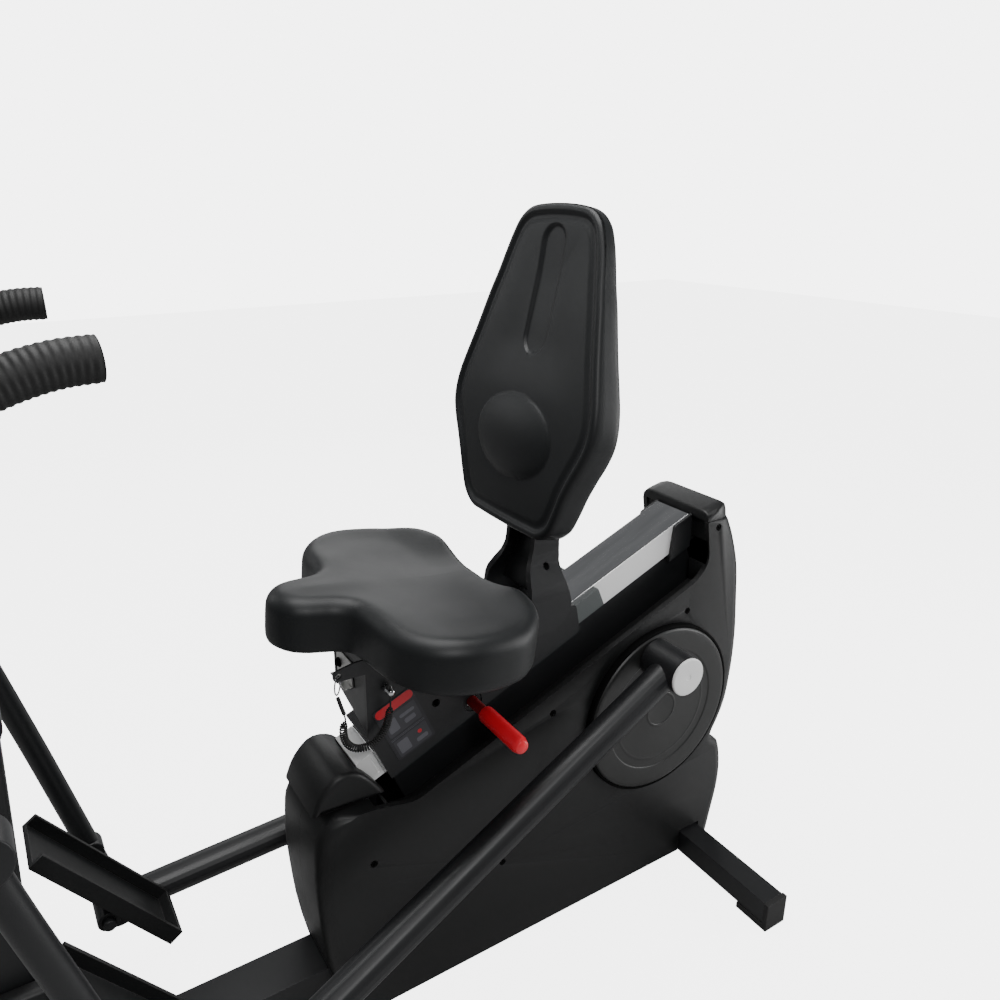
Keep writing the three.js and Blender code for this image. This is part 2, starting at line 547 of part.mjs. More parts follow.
// ---- Seat carriage ------------------------------------------------------------------
const seatTop = (x) => SEAT_NOSE_Z - (SEAT_NOSE_X - x) * Math.tan(SEAT_TILT);
const seatUnderside = (x) => seatTop(x) - SEAT_THICKNESS / Math.cos(SEAT_TILT);
const PAN_THICKNESS = 8;
const carriageTop = (x) => seatUnderside(x) - PAN_THICKNESS / Math.cos(SEAT_TILT) - 2 * GAP;
const [frontLowX, frontLowZ] = railToMachine(CARRIAGE_FRONT_U, SKIRT_W);
const [frontKneeX, frontKneeZ] = railToMachine(CARRIAGE_FRONT_U, 41.5);
const [rearLowX, rearLowZ] = railToMachine(200, SKIRT_W);
const carriageOutline = roundedShape([[frontLowX, frontLowZ, 3], [frontKneeX, frontKneeZ, 6],
  [545, carriageTop(545), 3],
  [250, carriageTop(250), 2], [172, 622, 10], [rearLowX - 4, rearLowZ + 6, 6]]);
const carriageSides = plateY(carriageOutline, -CARRIAGE_HALF, CARRIAGE_HALF);
const innerHalf = CARRIAGE_HALF - CARRIAGE_PLATE;
const underRail = boxAt(100, 700, -innerHalf, innerHalf, -200, 8);
const overRail = boxAt(100, 700, -innerHalf, innerHalf, 14, 300);
underRail.applyMatrix4(railMatrix);
overRail.applyMatrix4(railMatrix);
const [LEVER_X, LEVER_Z] = railToMachine(LEVER_U, -RAIL_HEIGHT / 2 + 0.5);
const leverWindow = cylinderY(17, CARRIAGE_HALF - 12, CARRIAGE_HALF + 12, LEVER_X, LEVER_Z, 20);
const viewSlot = cylinderY(7, CARRIAGE_HALF - 12, CARRIAGE_HALF + 12, 434, 525, 12);
const PIN_X = 515;
const PIN_Z = 580;
const pinBore = cylinderY(5, CARRIAGE_HALF - 12, CARRIAGE_HALF + 12, PIN_X, PIN_Z, 12);
// The front plate ends in a slanting lower edge, and the right side plate stops at RIGHT_LOW_Z.
const RIGHT_LOW_Z = 536;
const lowerCut = new THREE.BoxGeometry(20, 200, 60).rotateX(-0.285).translate(541.7, -6.4, 490.2);
const frontPlate = cut(boxAt(539, 544.5, -innerHalf - 2, innerHalf + 2, 500, 632), lowerCut);
const rightCorner = boxAt(455, 640, -CARRIAGE_HALF - 1, -innerHalf + 1, 380, RIGHT_LOW_Z);
const lugShape = roundedShape([[530, 612], [594, 614, 7], [594, 630, 7], [560, 636, 6], [530, 636]]);
const lug = plateY(lugShape, CARRIAGE_HALF - 0.5, CARRIAGE_HALF + 3);
const lugHole = cylinderY(4.5, CARRIAGE_HALF - 2, CARRIAGE_HALF + 5, 586.3, 622, 12);
const carriage = cut(carriageSides, underRail, overRail, leverWindow, viewSlot, pinBore, rightCorner);
add('carriage_frame', carriage.add(frontPlate).add(cut(lug, lugHole)), satinBlack);

// Nylon glides that straddle the rail at the carriage's two ends. The rear one's cheeks reach
// out behind the carriage, and its bridge stays under it.
const glideHalf = innerHalf - GAP;
const glideTop = 8 - GAP;
const glideChannel = boxAt(100, 600, -half - GAP, half + GAP, -40, GAP);
add('glide_block_front', cut(boxAt(520, 572, -glideHalf, glideHalf, -36, glideTop), glideChannel),
  greyNylon, railGroup);
const rearGlideShape = roundedShape([[131, -36, 3], [250, -36], [250, glideTop], [205, glideTop], [198, 0],
  [131, 0, 3]]);
const rearGlideNotch = boxAt(120, 204, -half - GAP, half + GAP, -40, 20);
add('glide_block_rear', cut(plateY(rearGlideShape, -glideHalf, glideHalf), glideChannel, rearGlideNotch),
  greyNylon, railGroup);

const panShape = roundedShape([[-84, -150, 40], [116, -90, 40], [116, 90, 40], [-84, 150, 40]]);
const seatGroup = new THREE.Group();
seatGroup.rotation.y = -SEAT_TILT;
seatGroup.position.set(420, 0, seatUnderside(420) - GAP);
machine.add(seatGroup);
add('seat_pan', plateZ(panShape, -PAN_THICKNESS, 0), steel, seatGroup);

// Saddle outline: short narrow nose, square-shouldered wings and a nearly straight rear edge.
const halfSaddle = [[246, 0], [240, 24], [228, 40], [210, 50], [190, 55], [170, 60], [154, 72],
  [147, 92], [144, 110], [141, 138], [136, 165], [125, 191], [108, 213], [84, 229], [50, 239], [10, 238],
  [-28, 231], [-58, 214], [-80, 190], [-94, 160], [-100, 125], [-97, 85], [-94, 42]];
const saddlePoints = [...halfSaddle, [-94, 0], ...halfSaddle.slice(1).map(([x, y]) => [x, -y]).reverse()];
const saddleCurve = new THREE.CatmullRomCurve3(
  saddlePoints.map(([x, y]) => new THREE.Vector3(x, y, 0)), true, 'centripetal');
const saddleOutline = saddleCurve.getPoints(72).slice(0, -1).map((p) => [p.x, p.y]);
// Each pad is lofted through copies of its outline, given as [level, scale].
function padLoft(outline, middle, layers) {
  return loftY(layers.map(([y, scale]) => ({
    y,
    shape: new THREE.Shape(outline.map(([a, b]) =>
      new THREE.Vector2(middle[0] + (a - middle[0]) * scale, middle[1] + (b - middle[1]) * scale))),
  })));
}
const saddleLayers = [[GAP, 0.95], [16, 1], [56, 1], [68, 0.97], [SEAT_THICKNESS, 0.9]];
add('seat_cushion', padLoft(saddleOutline, [20, 0], saddleLayers).rotateX(Math.PI / 2), softBlack, seatGroup);

// ---- Backrest -----------------------------------------------------------------------
// Bracket: two plates that straddle the carriage and draw together above it, and a web.
const uprightOutline = roundedShape([[222, 590, 20], [300, 590, 6], [300, 606, 10], [276, 622, 14],
  [269, 640, 8],
  [266, 660], [258, 690, 12], [247, 712, 10], [243, 735, 8], [242.5, 765, 2], [228, 832, 4], [191, 832, 4],
  [195, 765], [194, 712, 20], [200, 689, 12], [196, 662, 12], [188, 632, 8], [196, 612, 14]]);
const bracketOuter = [[70, 550], [70, 655], [66, 668], [55, 684], [44, 700], [40, 716], [40, 840]];
const bracketInner = [[60.3, 540], [60.3, 650], [57, 661], [46, 677], [35.5, 694], [31, 712], [31, 850]];

// A run of bar along X whose section is given by its right half as [y, z].
function barAlongX(halfSection, x0, x1) {
  const corners = [...halfSection, ...halfSection.map(([y, z]) => [-y, z]).reverse()];
  const bar = plateZ(new THREE.Shape(corners.map(([y, z]) => new THREE.Vector2(y, z))), x0, x1);
  return bar.rotateX(Math.PI / 2).rotateZ(Math.PI / 2);
}
const bracketPlates = toSolid(barAlongX(bracketOuter, 150, 330))
  .subtract(toSolid(barAlongX(bracketInner, 140, 340)))
  .intersect(toSolid(plateY(uprightOutline, -80, 80)));
const webOutline = roundedShape([[205, 650], [236, 640, 4], [235, 660], [232, 698, 20], [221, 732, 12],
  [219, 765, 8],
  [207, 828], [198, 828], [205, 765, 8]]);
const bracketWeb = toSolid(barAlongX(bracketOuter, 150, 330))
  .intersect(toSolid(plateY(webOutline, -80, 80)));
const pivotHoles = cylinderY(5.5, -90, 90, 224, 696, 12);
add('backrest_bracket', cut(bracketPlates.add(bracketWeb), pivotHoles), satinBlack);

const backGroup = new THREE.Group();     // local Z up the pad, local X out of its front face
backGroup.rotation.y = -PAD_TILT;
backGroup.position.set(PAD_FOOT_X, 0, PAD_FOOT_Z);
machine.add(backGroup);
const halfPad = [[60, 0], [95, 3], [120, 20], [135, 49], [147, 80], [161, 109], [175, 135], [185, 161],
  [187, 185], [183, 213], [174, 243], [162, 279], [151, 315], [141, 349], [130, 381], [121, 411],
  [111, 439], [98, 462], [76, 477], [40, PAD_HEIGHT]];
const padPoints = [...halfPad, ...halfPad.map(([y, z]) => [-y, z]).reverse()];
const padCurve = new THREE.CatmullRomCurve3(
  padPoints.map(([y, z]) => new THREE.Vector3(y, z, 0)), true, 'centripetal');
const padOutline = padCurve.getPoints(48).slice(0, -1).map((p) => [p.x, p.y]);
const padMiddle = [0, PAD_HEIGHT / 2];

// The backrest thins towards its top: everything behind the front face moves forwards there.
function taper(geometry) {
  const place = geometry.getAttribute('position');
  for (let i = 0; i < place.count; i += 1) {
    const share = Math.min(1, -place.getX(i) / PAD_THICKNESS);
    place.setX(i, place.getX(i) + PAD_TAPER * place.getZ(i) * share);
  }
  return geometry;
}
const bracketNotch = boxAt(-140, -37, -44, 44, -20, 83);
const padLayers = [[-PAD_THICKNESS, 0.96], [-44, 1], [-8, 1], [-3, 0.99], [0, 0.965]];
const padBlock = taper(padLoft(padOutline, padMiddle, padLayers).rotateZ(-Math.PI / 2));
add('backrest_pad', cut(padBlock, bracketNotch), softBlack, backGroup);
const shellFront = -PAD_THICKNESS - GAP;
const shellLayers = [[shellFront - SHELL_THICKNESS, 0.84], [shellFront - 6, 0.92], [shellFront, 0.92]];
const shellBlock = taper(padLoft(padOutline, padMiddle, shellLayers).rotateZ(-Math.PI / 2));
add('backrest_shell', cut(shellBlock, bracketNotch), blackPlastic, backGroup);

// ---- Lock lever, lock pin, label and lanyard ------------------------------------------
const leverShaft = cylinderY(9, half + 4, 118, LEVER_X, LEVER_Z, 18);
const leverPawl = cylinderY(4, half + 1, half + 6, LEVER_X, LEVER_Z, 8);
add('lock_lever', join(leverShaft, leverPawl), redMetal);
const gripProfile = [[9.6, 0], [12.5, 0], [13.5, 3], [13.5, 92], [10.5, 101], [0, 105], [0, 20],
  [9.6, 20], [9.6, 0]];
add('lever_grip', turned(gripProfile, 98.5, LEVER_X, LEVER_Z, 18), redGrip);

const pinProfile = [[0, 0], [4.4, 0], [4.4, 18], [7, 18], [7, 24], [5, 27], [5, 34], [0, 36]];
add('lock_pin', turned(pinProfile, CARRIAGE_HALF - 14, PIN_X, PIN_Z, 20), chrome);

const labelShape = roundedShape([[484, -28, 4], [552, -28, 4], [552, 76, 4], [484, 76, 4]]);
add('seat_label', plateY(labelShape, CARRIAGE_HALF + GAP, CARRIAGE_HALF + GAP + 0.8), labelFilm, railGroup);

// The curly lanyard hangs in a U from the clip at the carriage's front to the lock pin.
const CORD_RADIUS = 6;
const cordRoute = [[583, 70, 556], [588, 71, 540], [586, 72, 522], [577, 73, 509], [564, 74, 503],
  [549, 75, 504], [536, 75, 511], [526, 76, 524], [520, 77, 542], [517, 78, 560]];
add('lanyard_cord', tubeAlong(cordRoute, CORD_RADIUS, 8, 28), blackRubber);
const clipBody = tubeAlong([[584, 69, 557 + CORD_RADIUS + 1], [587, 68, 575], [591, 67, 592]], 3, 8, 6);
add('lanyard_clip', clipBody, blackPlastic);
const ringShape = new THREE.TorusGeometry(13, 1.2, 5, 20);
ringShape.rotateX(Math.PI / 2).rotateZ(0.9).translate(590, 66.5, 611);
add('lanyard_ring', ringShape, zinc);

// ---- Mast, swing arms, rods, pedals ----------------------------------------------------
const MAST_LEAN = (MAST_TOP_X - MAST_FOOT_X) / (MAST_TOP_Z - BEAM_TOP_Z);
const mastX = (z) => MAST_FOOT_X + MAST_LEAN * (z - BEAM_TOP_Z);
const mastOutline = roundedShape([[MAST_FOOT_X - 38, BEAM_TOP_Z + GAP], [MAST_FOOT_X + 38, BEAM_TOP_Z + GAP],
  [MAST_TOP_X + 26, MAST_TOP_Z], [MAST_TOP_X - 26, MAST_TOP_Z]]);
const mastBoss = cylinderY(34, -62, 62, ARM_PIVOT_X, ARM_PIVOT_Z, 24);
const pivotBore = cylinderY(SHAFT_RADIUS + 2 * GAP, -80, 80, ARM_PIVOT_X, ARM_PIVOT_Z, 20);
const consoleEars = [-28, 28].map((y) =>
  boxAt(MAST_TOP_X - 16, MAST_TOP_X + 16, y - 5, y + 5, MAST_TOP_Z - 10, MAST_TOP_Z + 32));
const tiltBore = cylinderY(6.6, -60, 60, MAST_TOP_X, MAST_TOP_Z + 20, 12);
// The tube is open at both ends and stays solid about the pivot boss.
const MAST_WALL = 5;
function mastBore(lowZ, highZ, halfWidth) {
  const corner = (z, side) => {
    const share = (z - BEAM_TOP_Z) / (MAST_TOP_Z - BEAM_TOP_Z);
    return [mastX(z) + side * (38 - 12 * share - MAST_WALL), z];
  };
  const outline = roundedShape([corner(lowZ, -1), corner(lowZ, 1), corner(highZ, 1), corner(highZ, -1)]);
  return plateY(outline, -halfWidth, halfWidth);
}
const mastBores = [mastBore(BEAM_TOP_Z - 10, 645, 34 - MAST_WALL), mastBore(735, MAST_TOP_Z + 50, 22)];
const mastTube = cut(plateY(mastOutline, -34, 34, 3, 8), ...mastBores);
add('mast', cut(join(mastBoss, ...consoleEars).add(mastTube), pivotBore, tiltBore), satinBlack);

const coverOuter = roundedShape([[MAST_FOOT_X - 70, BEAM_TOP_Z + 1], [MAST_FOOT_X + 66, BEAM_TOP_Z + 1],
  [mastX(300) + 48, 300], [mastX(300) - 48, 300]]);
const coverBore = plateY(roundedShape([[MAST_FOOT_X - 40, 60], [MAST_FOOT_X + 41, 60], [mastX(340) + 37, 340],
  [mastX(340) - 37, 340]]), -36, 36);
add('mast_cover', cut(plateY(coverOuter, -58, 58, 3, 10), coverBore), blackPlastic);

const SHAFT_HALF = 300;
add('pivot_shaft', cylinderY(SHAFT_RADIUS, -SHAFT_HALF, SHAFT_HALF, ARM_PIVOT_X, ARM_PIVOT_Z, 20), steel);

// Lower pivot of the right arm: where its circle about the shaft meets the reach of its rod.
const armLength = Math.hypot(ARM_PIVOT_X - LEFT_EYE_X, ARM_PIVOT_Z - LEFT_EYE_Z);
const pinLeft = [CRANK_RADIUS * Math.cos(CRANK_ANGLE), CRANK_Z + CRANK_RADIUS * Math.sin(CRANK_ANGLE)];
const pinRight = [-pinLeft[0], 2 * CRANK_Z - pinLeft[1]];
const rodReach = Math.hypot(LEFT_EYE_X - pinLeft[0], LEFT_EYE_Z - pinLeft[1]);
const leftAngle = Math.atan2(LEFT_EYE_X - ARM_PIVOT_X, ARM_PIVOT_Z - LEFT_EYE_Z);
function rightArmAngle() {
  const away = Math.hypot(ARM_PIVOT_X - pinRight[0], ARM_PIVOT_Z - pinRight[1]);
  const bearing = Math.atan2(pinRight[0] - ARM_PIVOT_X, ARM_PIVOT_Z - pinRight[1]);
  const corner = Math.acos((armLength ** 2 + away ** 2 - rodReach ** 2) / (2 * armLength * away));
  return bearing + corner;
}
const rightAngle = rightArmAngle();
const rightEye = [ARM_PIVOT_X + armLength * Math.sin(rightAngle),
  ARM_PIVOT_Z - armLength * Math.cos(rightAngle)];

// Each arm is drawn hanging straight down from its pivot and then turned by its rest angle.
const EYE_RADIUS = 27;
const PEDAL_RISE = 92;              // pedal axle above the lower pivot, along the arm

// The upper stations are given as they stand on the left arm: forwards, inwards, up.
function armCurve() {
  const upper = [[0, 0, 0], [6, 0, 130], [10, 0, 260], [-8, 4, 350], [-50, 14, 400], [-118, 26, 424],
    [-168, 32, 428]];
  const top = upper.map(([x, y, z]) => new THREE.Vector3(
    x * Math.cos(leftAngle) + z * Math.sin(leftAngle),
    ARM_Y - y,
    z * Math.cos(leftAngle) - x * Math.sin(leftAngle)));
  const foot = [1, 0.5].map((share) => new THREE.Vector3(0, ARM_Y, -armLength * share));
  return new THREE.CatmullRomCurve3([...foot, ...top], false, 'centripetal');
}

function swingArm() {
  const tube = tubeOn(armCurve(), ARM_TUBE_RADIUS, 12, 26);
  const hub = cylinderY(30, ARM_Y - 22, ARM_Y + 22, 0, 0, 24);
  const eye = cylinderY(EYE_RADIUS, ARM_Y - 18, ARM_Y + 18, 0, -armLength, 20);
  const eyePin = cylinderY(10, 205, ARM_Y, 0, -armLength, 14);
  const pedalBoss = cylinderY(20, ARM_Y - 20, ARM_Y + 18, 0, PEDAL_RISE - armLength, 16);
  const pedalAxle = cylinderY(9, 84, ARM_Y, 0, PEDAL_RISE - armLength, 14);
  const bore = cylinderY(SHAFT_RADIUS + 2 * GAP, ARM_Y - 40, ARM_Y + 25, 0, 0, 20);
  return toGeometry(cut(join(tube, hub, eye, eyePin, pedalBoss, pedalAxle), bore));
}

// The grip is a sleeve on the arm's last stretch, cut from the arm's own path.
function handGrip() {
  const sleeve = tubeOn(armCurve(), ARM_TUBE_RADIUS + 4, 12, 26);
  const bore = tubeOn(armCurve(), ARM_TUBE_RADIUS + GAP, 12, 26);
  const stretch = boxAt(-220, -58, 200, 300, 330, 490).rotateY(leftAngle);
  return toGeometry(toSolid(sleeve).intersect(toSolid(stretch)).subtract(toSolid(bore)));
}

// Foot plate with a raised heel and sides, on a sleeve about its axle.
const PEDAL_INNER_Y = 88;
const PEDAL_OUTER_Y = 190;
const PEDAL_TILT = THREE.MathUtils.degToRad(55);
function footPlate() {
  const tray = boxAt(-112, 168, PEDAL_INNER_Y, PEDAL_OUTER_Y, 15, 40);
  const hollow = boxAt(-105, 200, PEDAL_INNER_Y + 7, PEDAL_OUTER_Y - 7, 23, 60);
  const sleeve = cylinderY(16, PEDAL_INNER_Y + 6, PEDAL_OUTER_Y - 6, 0, 0, 20);
  const rib = boxAt(-60, 110, 130, 148, 4, 16);
  const bore = cylinderY(9.6, 0, 300, 0, 0, 14);
  return toGeometry(cut(cut(tray, hollow).add(join(sleeve, rib)), bore));
}

const armGeometry = swingArm();
const gripGeometry = handGrip();
const pedalGeometry = footPlate();
for (const [side, angle] of [['left', leftAngle], ['right', rightAngle]]) {
  const dress = (geometry) => (side === 'left' ? geometry : mirrorY(geometry));
  const armGroup = new THREE.Group();
  armGroup.position.set(ARM_PIVOT_X, 0, ARM_PIVOT_Z);
  armGroup.rotation.y = -angle;
  machine.add(armGroup);
  add(`swing_arm_${side}`, dress(armGeometry), satinBlack, armGroup);
  add(`hand_grip_${side}`, dress(gripGeometry), blackRubber, armGroup);
  const pedal = add(`pedal_${side}`, dress(pedalGeometry), blackPlastic, armGroup);
  pedal.position.z = PEDAL_RISE - armLength;
  pedal.rotation.y = angle - PEDAL_TILT;
}

// Connecting rod: housing over the crank pin, straight tube, and an eye at the arm.
function connectingRod(pin, eye) {
  const start = new THREE.Vector3(pin[0], ROD_REAR_Y, pin[1]);
  const end = new THREE.Vector3(eye[0], ROD_FRONT_Y, eye[1]);
  const tube = cylinderBetween(start, end, ROD_RADIUS, 20);
  const housing = cylinderY(HOUSING_RADIUS, HOUSING_INNER_Y, HOUSING_OUTER_Y, pin[0], pin[1], 32);
  const frontEye = cylinderY(EYE_RADIUS + 4, ROD_FRONT_Y - 22, ROD_FRONT_Y + 22, eye[0], eye[1], 20);
  const eyeBore = cylinderY(10.8, 150, 320, eye[0], eye[1], 14);
  const along = end.clone().sub(start).normalize();
  const boreStart = start.clone().addScaledVector(along, 48);
  const boreEnd = end.clone().addScaledVector(along, -48);
  const tubeBore = cylinderBetween(boreStart, boreEnd, ROD_RADIUS - 3.5, 20);
  const ventTop = end.clone().addScaledVector(along, -75);
  const vent = cylinderBetween(ventTop, ventTop.clone().setZ(ventTop.z - 40), 3, 8);
  return cut(join(tube, housing, frontEye), eyeBore, tubeBore, vent);
}
const rodLeft = toGeometry(connectingRod(pinLeft, [LEFT_EYE_X, LEFT_EYE_Z]));
const rodRight = mirrorY(toGeometry(connectingRod(pinRight, rightEye)));
add('connecting_rod_left', rodLeft, satinBlack);
add('connecting_rod_right', rodRight, satinBlack);

const capProfile = [[0, 0], [HOUSING_RADIUS - 0.5, 0], [HOUSING_RADIUS - 0.5, 4],
  [HOUSING_RADIUS - 1.5, 5], [6, 5], [5, 4.2], [0, 4.2]];
const rodCap = turned(capProfile, HOUSING_OUTER_Y + GAP, 0, 0, 32);
const capLeft = add('rod_cap_left', rodCap, brushedAluminium);
capLeft.position.set(pinLeft[0], 0, pinLeft[1]);
const capRight = add('rod_cap_right', mirrorY(rodCap), brushedAluminium);
capRight.position.set(pinRight[0], 0, pinRight[1]);

// ---- Console --------------------------------------------------------------------------
const CONSOLE_LEAN = THREE.MathUtils.degToRad(25);
const CONSOLE_HALF = 140;
const consoleGroup = new THREE.Group();      // local X forwards, local Z up the console's face
consoleGroup.position.set(MAST_TOP_X, 0, MAST_TOP_Z + 20);
consoleGroup.rotation.y = CONSOLE_LEAN;
machine.add(consoleGroup);
const caseOutline = roundedShape([[-22, 26], [18, 26], [26, 60], [18, 168], [-22, 168]]);
const consoleNeck = boxAt(-12, 12, -20, 20, 0, 34);
const barrel = cylinderY(14, -22, 22, 0, 0, 18);
const tiltPin = cylinderY(6, -33, 33, 0, 0, 12);
const BUTTON_Z = 44;
const buttonPocket = toSolid(cylinderY(14, 0, 14, 0, 0, 20).rotateZ(Math.PI / 2).translate(-10, 0, BUTTON_Z));
const casing = plateY(caseOutline, -CONSOLE_HALF, CONSOLE_HALF, 3, 6);
const consoleCase = join(casing, consoleNeck, barrel, tiltPin);
add('console_housing', consoleCase.subtract(buttonPocket), blackPlastic, consoleGroup);
add('console_screen', boxAt(-24.3, -22 - GAP, -100, 100, 66, 156), screenGlass, consoleGroup);
const button = cylinderY(13, 0, 13, 0, 0, 20).rotateZ(Math.PI / 2).translate(-13.5, 0, BUTTON_Z);
add('console_button', button, redGrip, consoleGroup);

export default machine;
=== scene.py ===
"""Looks of the recumbent cross-trainer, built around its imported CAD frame.

Lengths in the helpers are millimetres in the machine's own frame, as in the CAD source:
X forwards from the crank axle, Y to the rider's left, Z up. at() turns them into metres
in the row frame.
"""

import json
import math

import bmesh
import bpy
from mathutils import Matrix, Vector
from mathutils.kdtree import KDTree


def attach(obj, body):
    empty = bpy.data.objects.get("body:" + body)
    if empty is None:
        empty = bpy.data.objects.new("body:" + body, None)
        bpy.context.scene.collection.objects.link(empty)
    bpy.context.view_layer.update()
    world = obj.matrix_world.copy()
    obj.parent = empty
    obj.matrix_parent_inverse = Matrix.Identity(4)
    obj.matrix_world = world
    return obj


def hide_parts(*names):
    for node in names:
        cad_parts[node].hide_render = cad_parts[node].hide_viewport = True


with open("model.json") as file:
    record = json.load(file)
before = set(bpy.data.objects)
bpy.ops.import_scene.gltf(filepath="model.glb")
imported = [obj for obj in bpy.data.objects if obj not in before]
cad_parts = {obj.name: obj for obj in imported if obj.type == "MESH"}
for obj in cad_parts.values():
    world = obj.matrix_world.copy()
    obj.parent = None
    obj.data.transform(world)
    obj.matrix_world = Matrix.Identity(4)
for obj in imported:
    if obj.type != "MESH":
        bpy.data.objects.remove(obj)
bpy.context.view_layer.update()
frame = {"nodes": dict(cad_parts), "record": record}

ORIGIN_X = 510.0                     # the crank axle lies this far behind the row's origin
RAIL_SLOPE = math.radians(22.5)
RAIL_TOP_Z = 683.6                   # the rail's top face above the crank axle
SEAT_TILT = math.radians(7)
SEAT_X = 420.0                       # the saddle's own origin lies above this station
SEAT_THICKNESS = 74.0                # at the nose, as in CAD
NOSE_REACH = 246.0                   # from the saddle's origin to its nose
NOSE_TOP_Z = 742.6
CAD_GAP = 0.3
PAD_TILT = math.radians(12)
PAD_FOOT = (284.9, 767.6)            # X and Z of the backrest's lower front edge
PAD_HEIGHT = 483.0
CRANK_Z = 380.0
CRANK_RADIUS = 122.0
CRANK_ANGLE = math.radians(76.8)
LEFT_EYE = (885.0, 139.0)            # X and Z of the left arm's lower pivot


def at(x, y, z):
    """A point of the machine in the row frame, in metres."""
    return Vector(((x - ORIGIN_X) / 1000, y / 1000, z / 1000))


def rail_at(u, y, w):
    """A point of the rail: u forwards and down its slope, w square to its top face."""
    x = u * math.cos(RAIL_SLOPE) + w * math.sin(RAIL_SLOPE)
    z = RAIL_TOP_Z - u * math.sin(RAIL_SLOPE) + w * math.cos(RAIL_SLOPE)
    return at(x, y, z)


def seat_at(x, y, z):
    """A point of the saddle: x forwards along it, z square to it from its underside."""
    base_z = NOSE_TOP_Z - SEAT_THICKNESS / math.cos(SEAT_TILT) - NOSE_REACH * math.tan(SEAT_TILT) - CAD_GAP
    px = SEAT_X + x * math.cos(SEAT_TILT) - z * math.sin(SEAT_TILT)
    pz = base_z + x * math.sin(SEAT_TILT) + z * math.cos(SEAT_TILT)
    return at(px, y, pz)


def pad_at(x, y, z):
    """A point of the backrest: z up its front face, x out of it."""
    px = PAD_FOOT[0] + x * math.cos(PAD_TILT) - z * math.sin(PAD_TILT)
    pz = PAD_FOOT[1] + x * math.sin(PAD_TILT) + z * math.cos(PAD_TILT)
    return at(px, y, pz)


# ---- Camera --------------------------------------------------------------------------------
SENSOR_WIDTH = 36
LENS = 30.67
CAMERA_PLACE = (0.4377, 1.050, 1.2527)
CAMERA_LOOK = (-0.504, -0.794, -0.339)

camera_data = bpy.data.cameras.new("camera")
camera_data.sensor_width = SENSOR_WIDTH
camera_data.lens = LENS
camera = bpy.data.objects.new("camera", camera_data)
bpy.context.scene.collection.objects.link(camera)
look = Vector(CAMERA_LOOK).normalized()
across = look.cross(Vector((0, 0, 1))).normalized()
up = across.cross(look).normalized()
turn = Matrix((across, up, -look)).transposed().to_4x4()
camera.matrix_world = Matrix.Translation(Vector(CAMERA_PLACE)) @ turn
bpy.context.scene.camera = camera

# ---- Materials -----------------------------------------------------------------------------
BLOTCHES = 14                        # scale of the slow variation in colour and gloss
RELIEF_DEPTH = 0.0004                # metres


def surface(name, color, rough, metallic=0.0, grain=400.0, bump=0.1, vary=0.12, rough_vary=0.06,
            specular=0.5, coat=0.0, coat_rough=0.1, sheen=0.0, streak=None):
    """A procedural surface: fine grain in the normal, slow variation in colour and gloss."""
    made = bpy.data.materials.new(name)
    made.use_nodes = True
    tree = made.node_tree
    shader = tree.nodes["Principled BSDF"]
    shader.inputs["Metallic"].default_value = metallic
    shader.inputs["Specular IOR Level"].default_value = specular
    shader.inputs["Coat Weight"].default_value = coat
    shader.inputs["Coat Roughness"].default_value = coat_rough
    shader.inputs["Sheen Weight"].default_value = sheen
    place = tree.nodes.new("ShaderNodeTexCoord")
    mapping = tree.nodes.new("ShaderNodeMapping")
    mapping.inputs["Scale"].default_value = streak or (1, 1, 1)
    tree.links.new(place.outputs["Object"], mapping.inputs["Vector"])
    slow = tree.nodes.new("ShaderNodeTexNoise")
    slow.inputs["Scale"].default_value = BLOTCHES
    slow.inputs["Detail"].default_value = 6
    tree.links.new(mapping.outputs["Vector"], slow.inputs["Vector"])
    tint = tree.nodes.new("ShaderNodeMix")
    tint.data_type = "RGBA"
    dark = [c * (1 - vary) for c in color]
    light = [min(1.0, c * (1 + vary)) for c in color]
    tint.inputs["A"].default_value = (*dark, 1)
    tint.inputs["B"].default_value = (*light, 1)
    tree.links.new(slow.outputs["Fac"], tint.inputs["Factor"])
    tree.links.new(tint.outputs["Result"], shader.inputs["Base Color"])
    fine = tree.nodes.new("ShaderNodeTexNoise")
    fine.inputs["Scale"].default_value = grain
    fine.inputs["Detail"].default_value = 3
    tree.links.new(mapping.outputs["Vector"], fine.inputs["Vector"])
    gloss = tree.nodes.new("ShaderNodeMapRange")
    gloss.inputs["To Min"].default_value = max(0.02, rough - rough_vary)
    gloss.inputs["To Max"].default_value = min(1.0, rough + rough_vary)
    tree.links.new(slow.outputs["Fac"], gloss.inputs["Value"])
    tree.links.new(gloss.outputs["Result"], shader.inputs["Roughness"])
    if bump > 0:
        relief = tree.nodes.new("ShaderNodeBump")
        relief.inputs["Strength"].default_value = bump
        relief.inputs["Distance"].default_value = RELIEF_DEPTH
        tree.links.new(fine.outputs["Fac"], relief.inputs["Height"])
        tree.links.new(relief.outputs["Normal"], shader.inputs["Normal"])
    return made


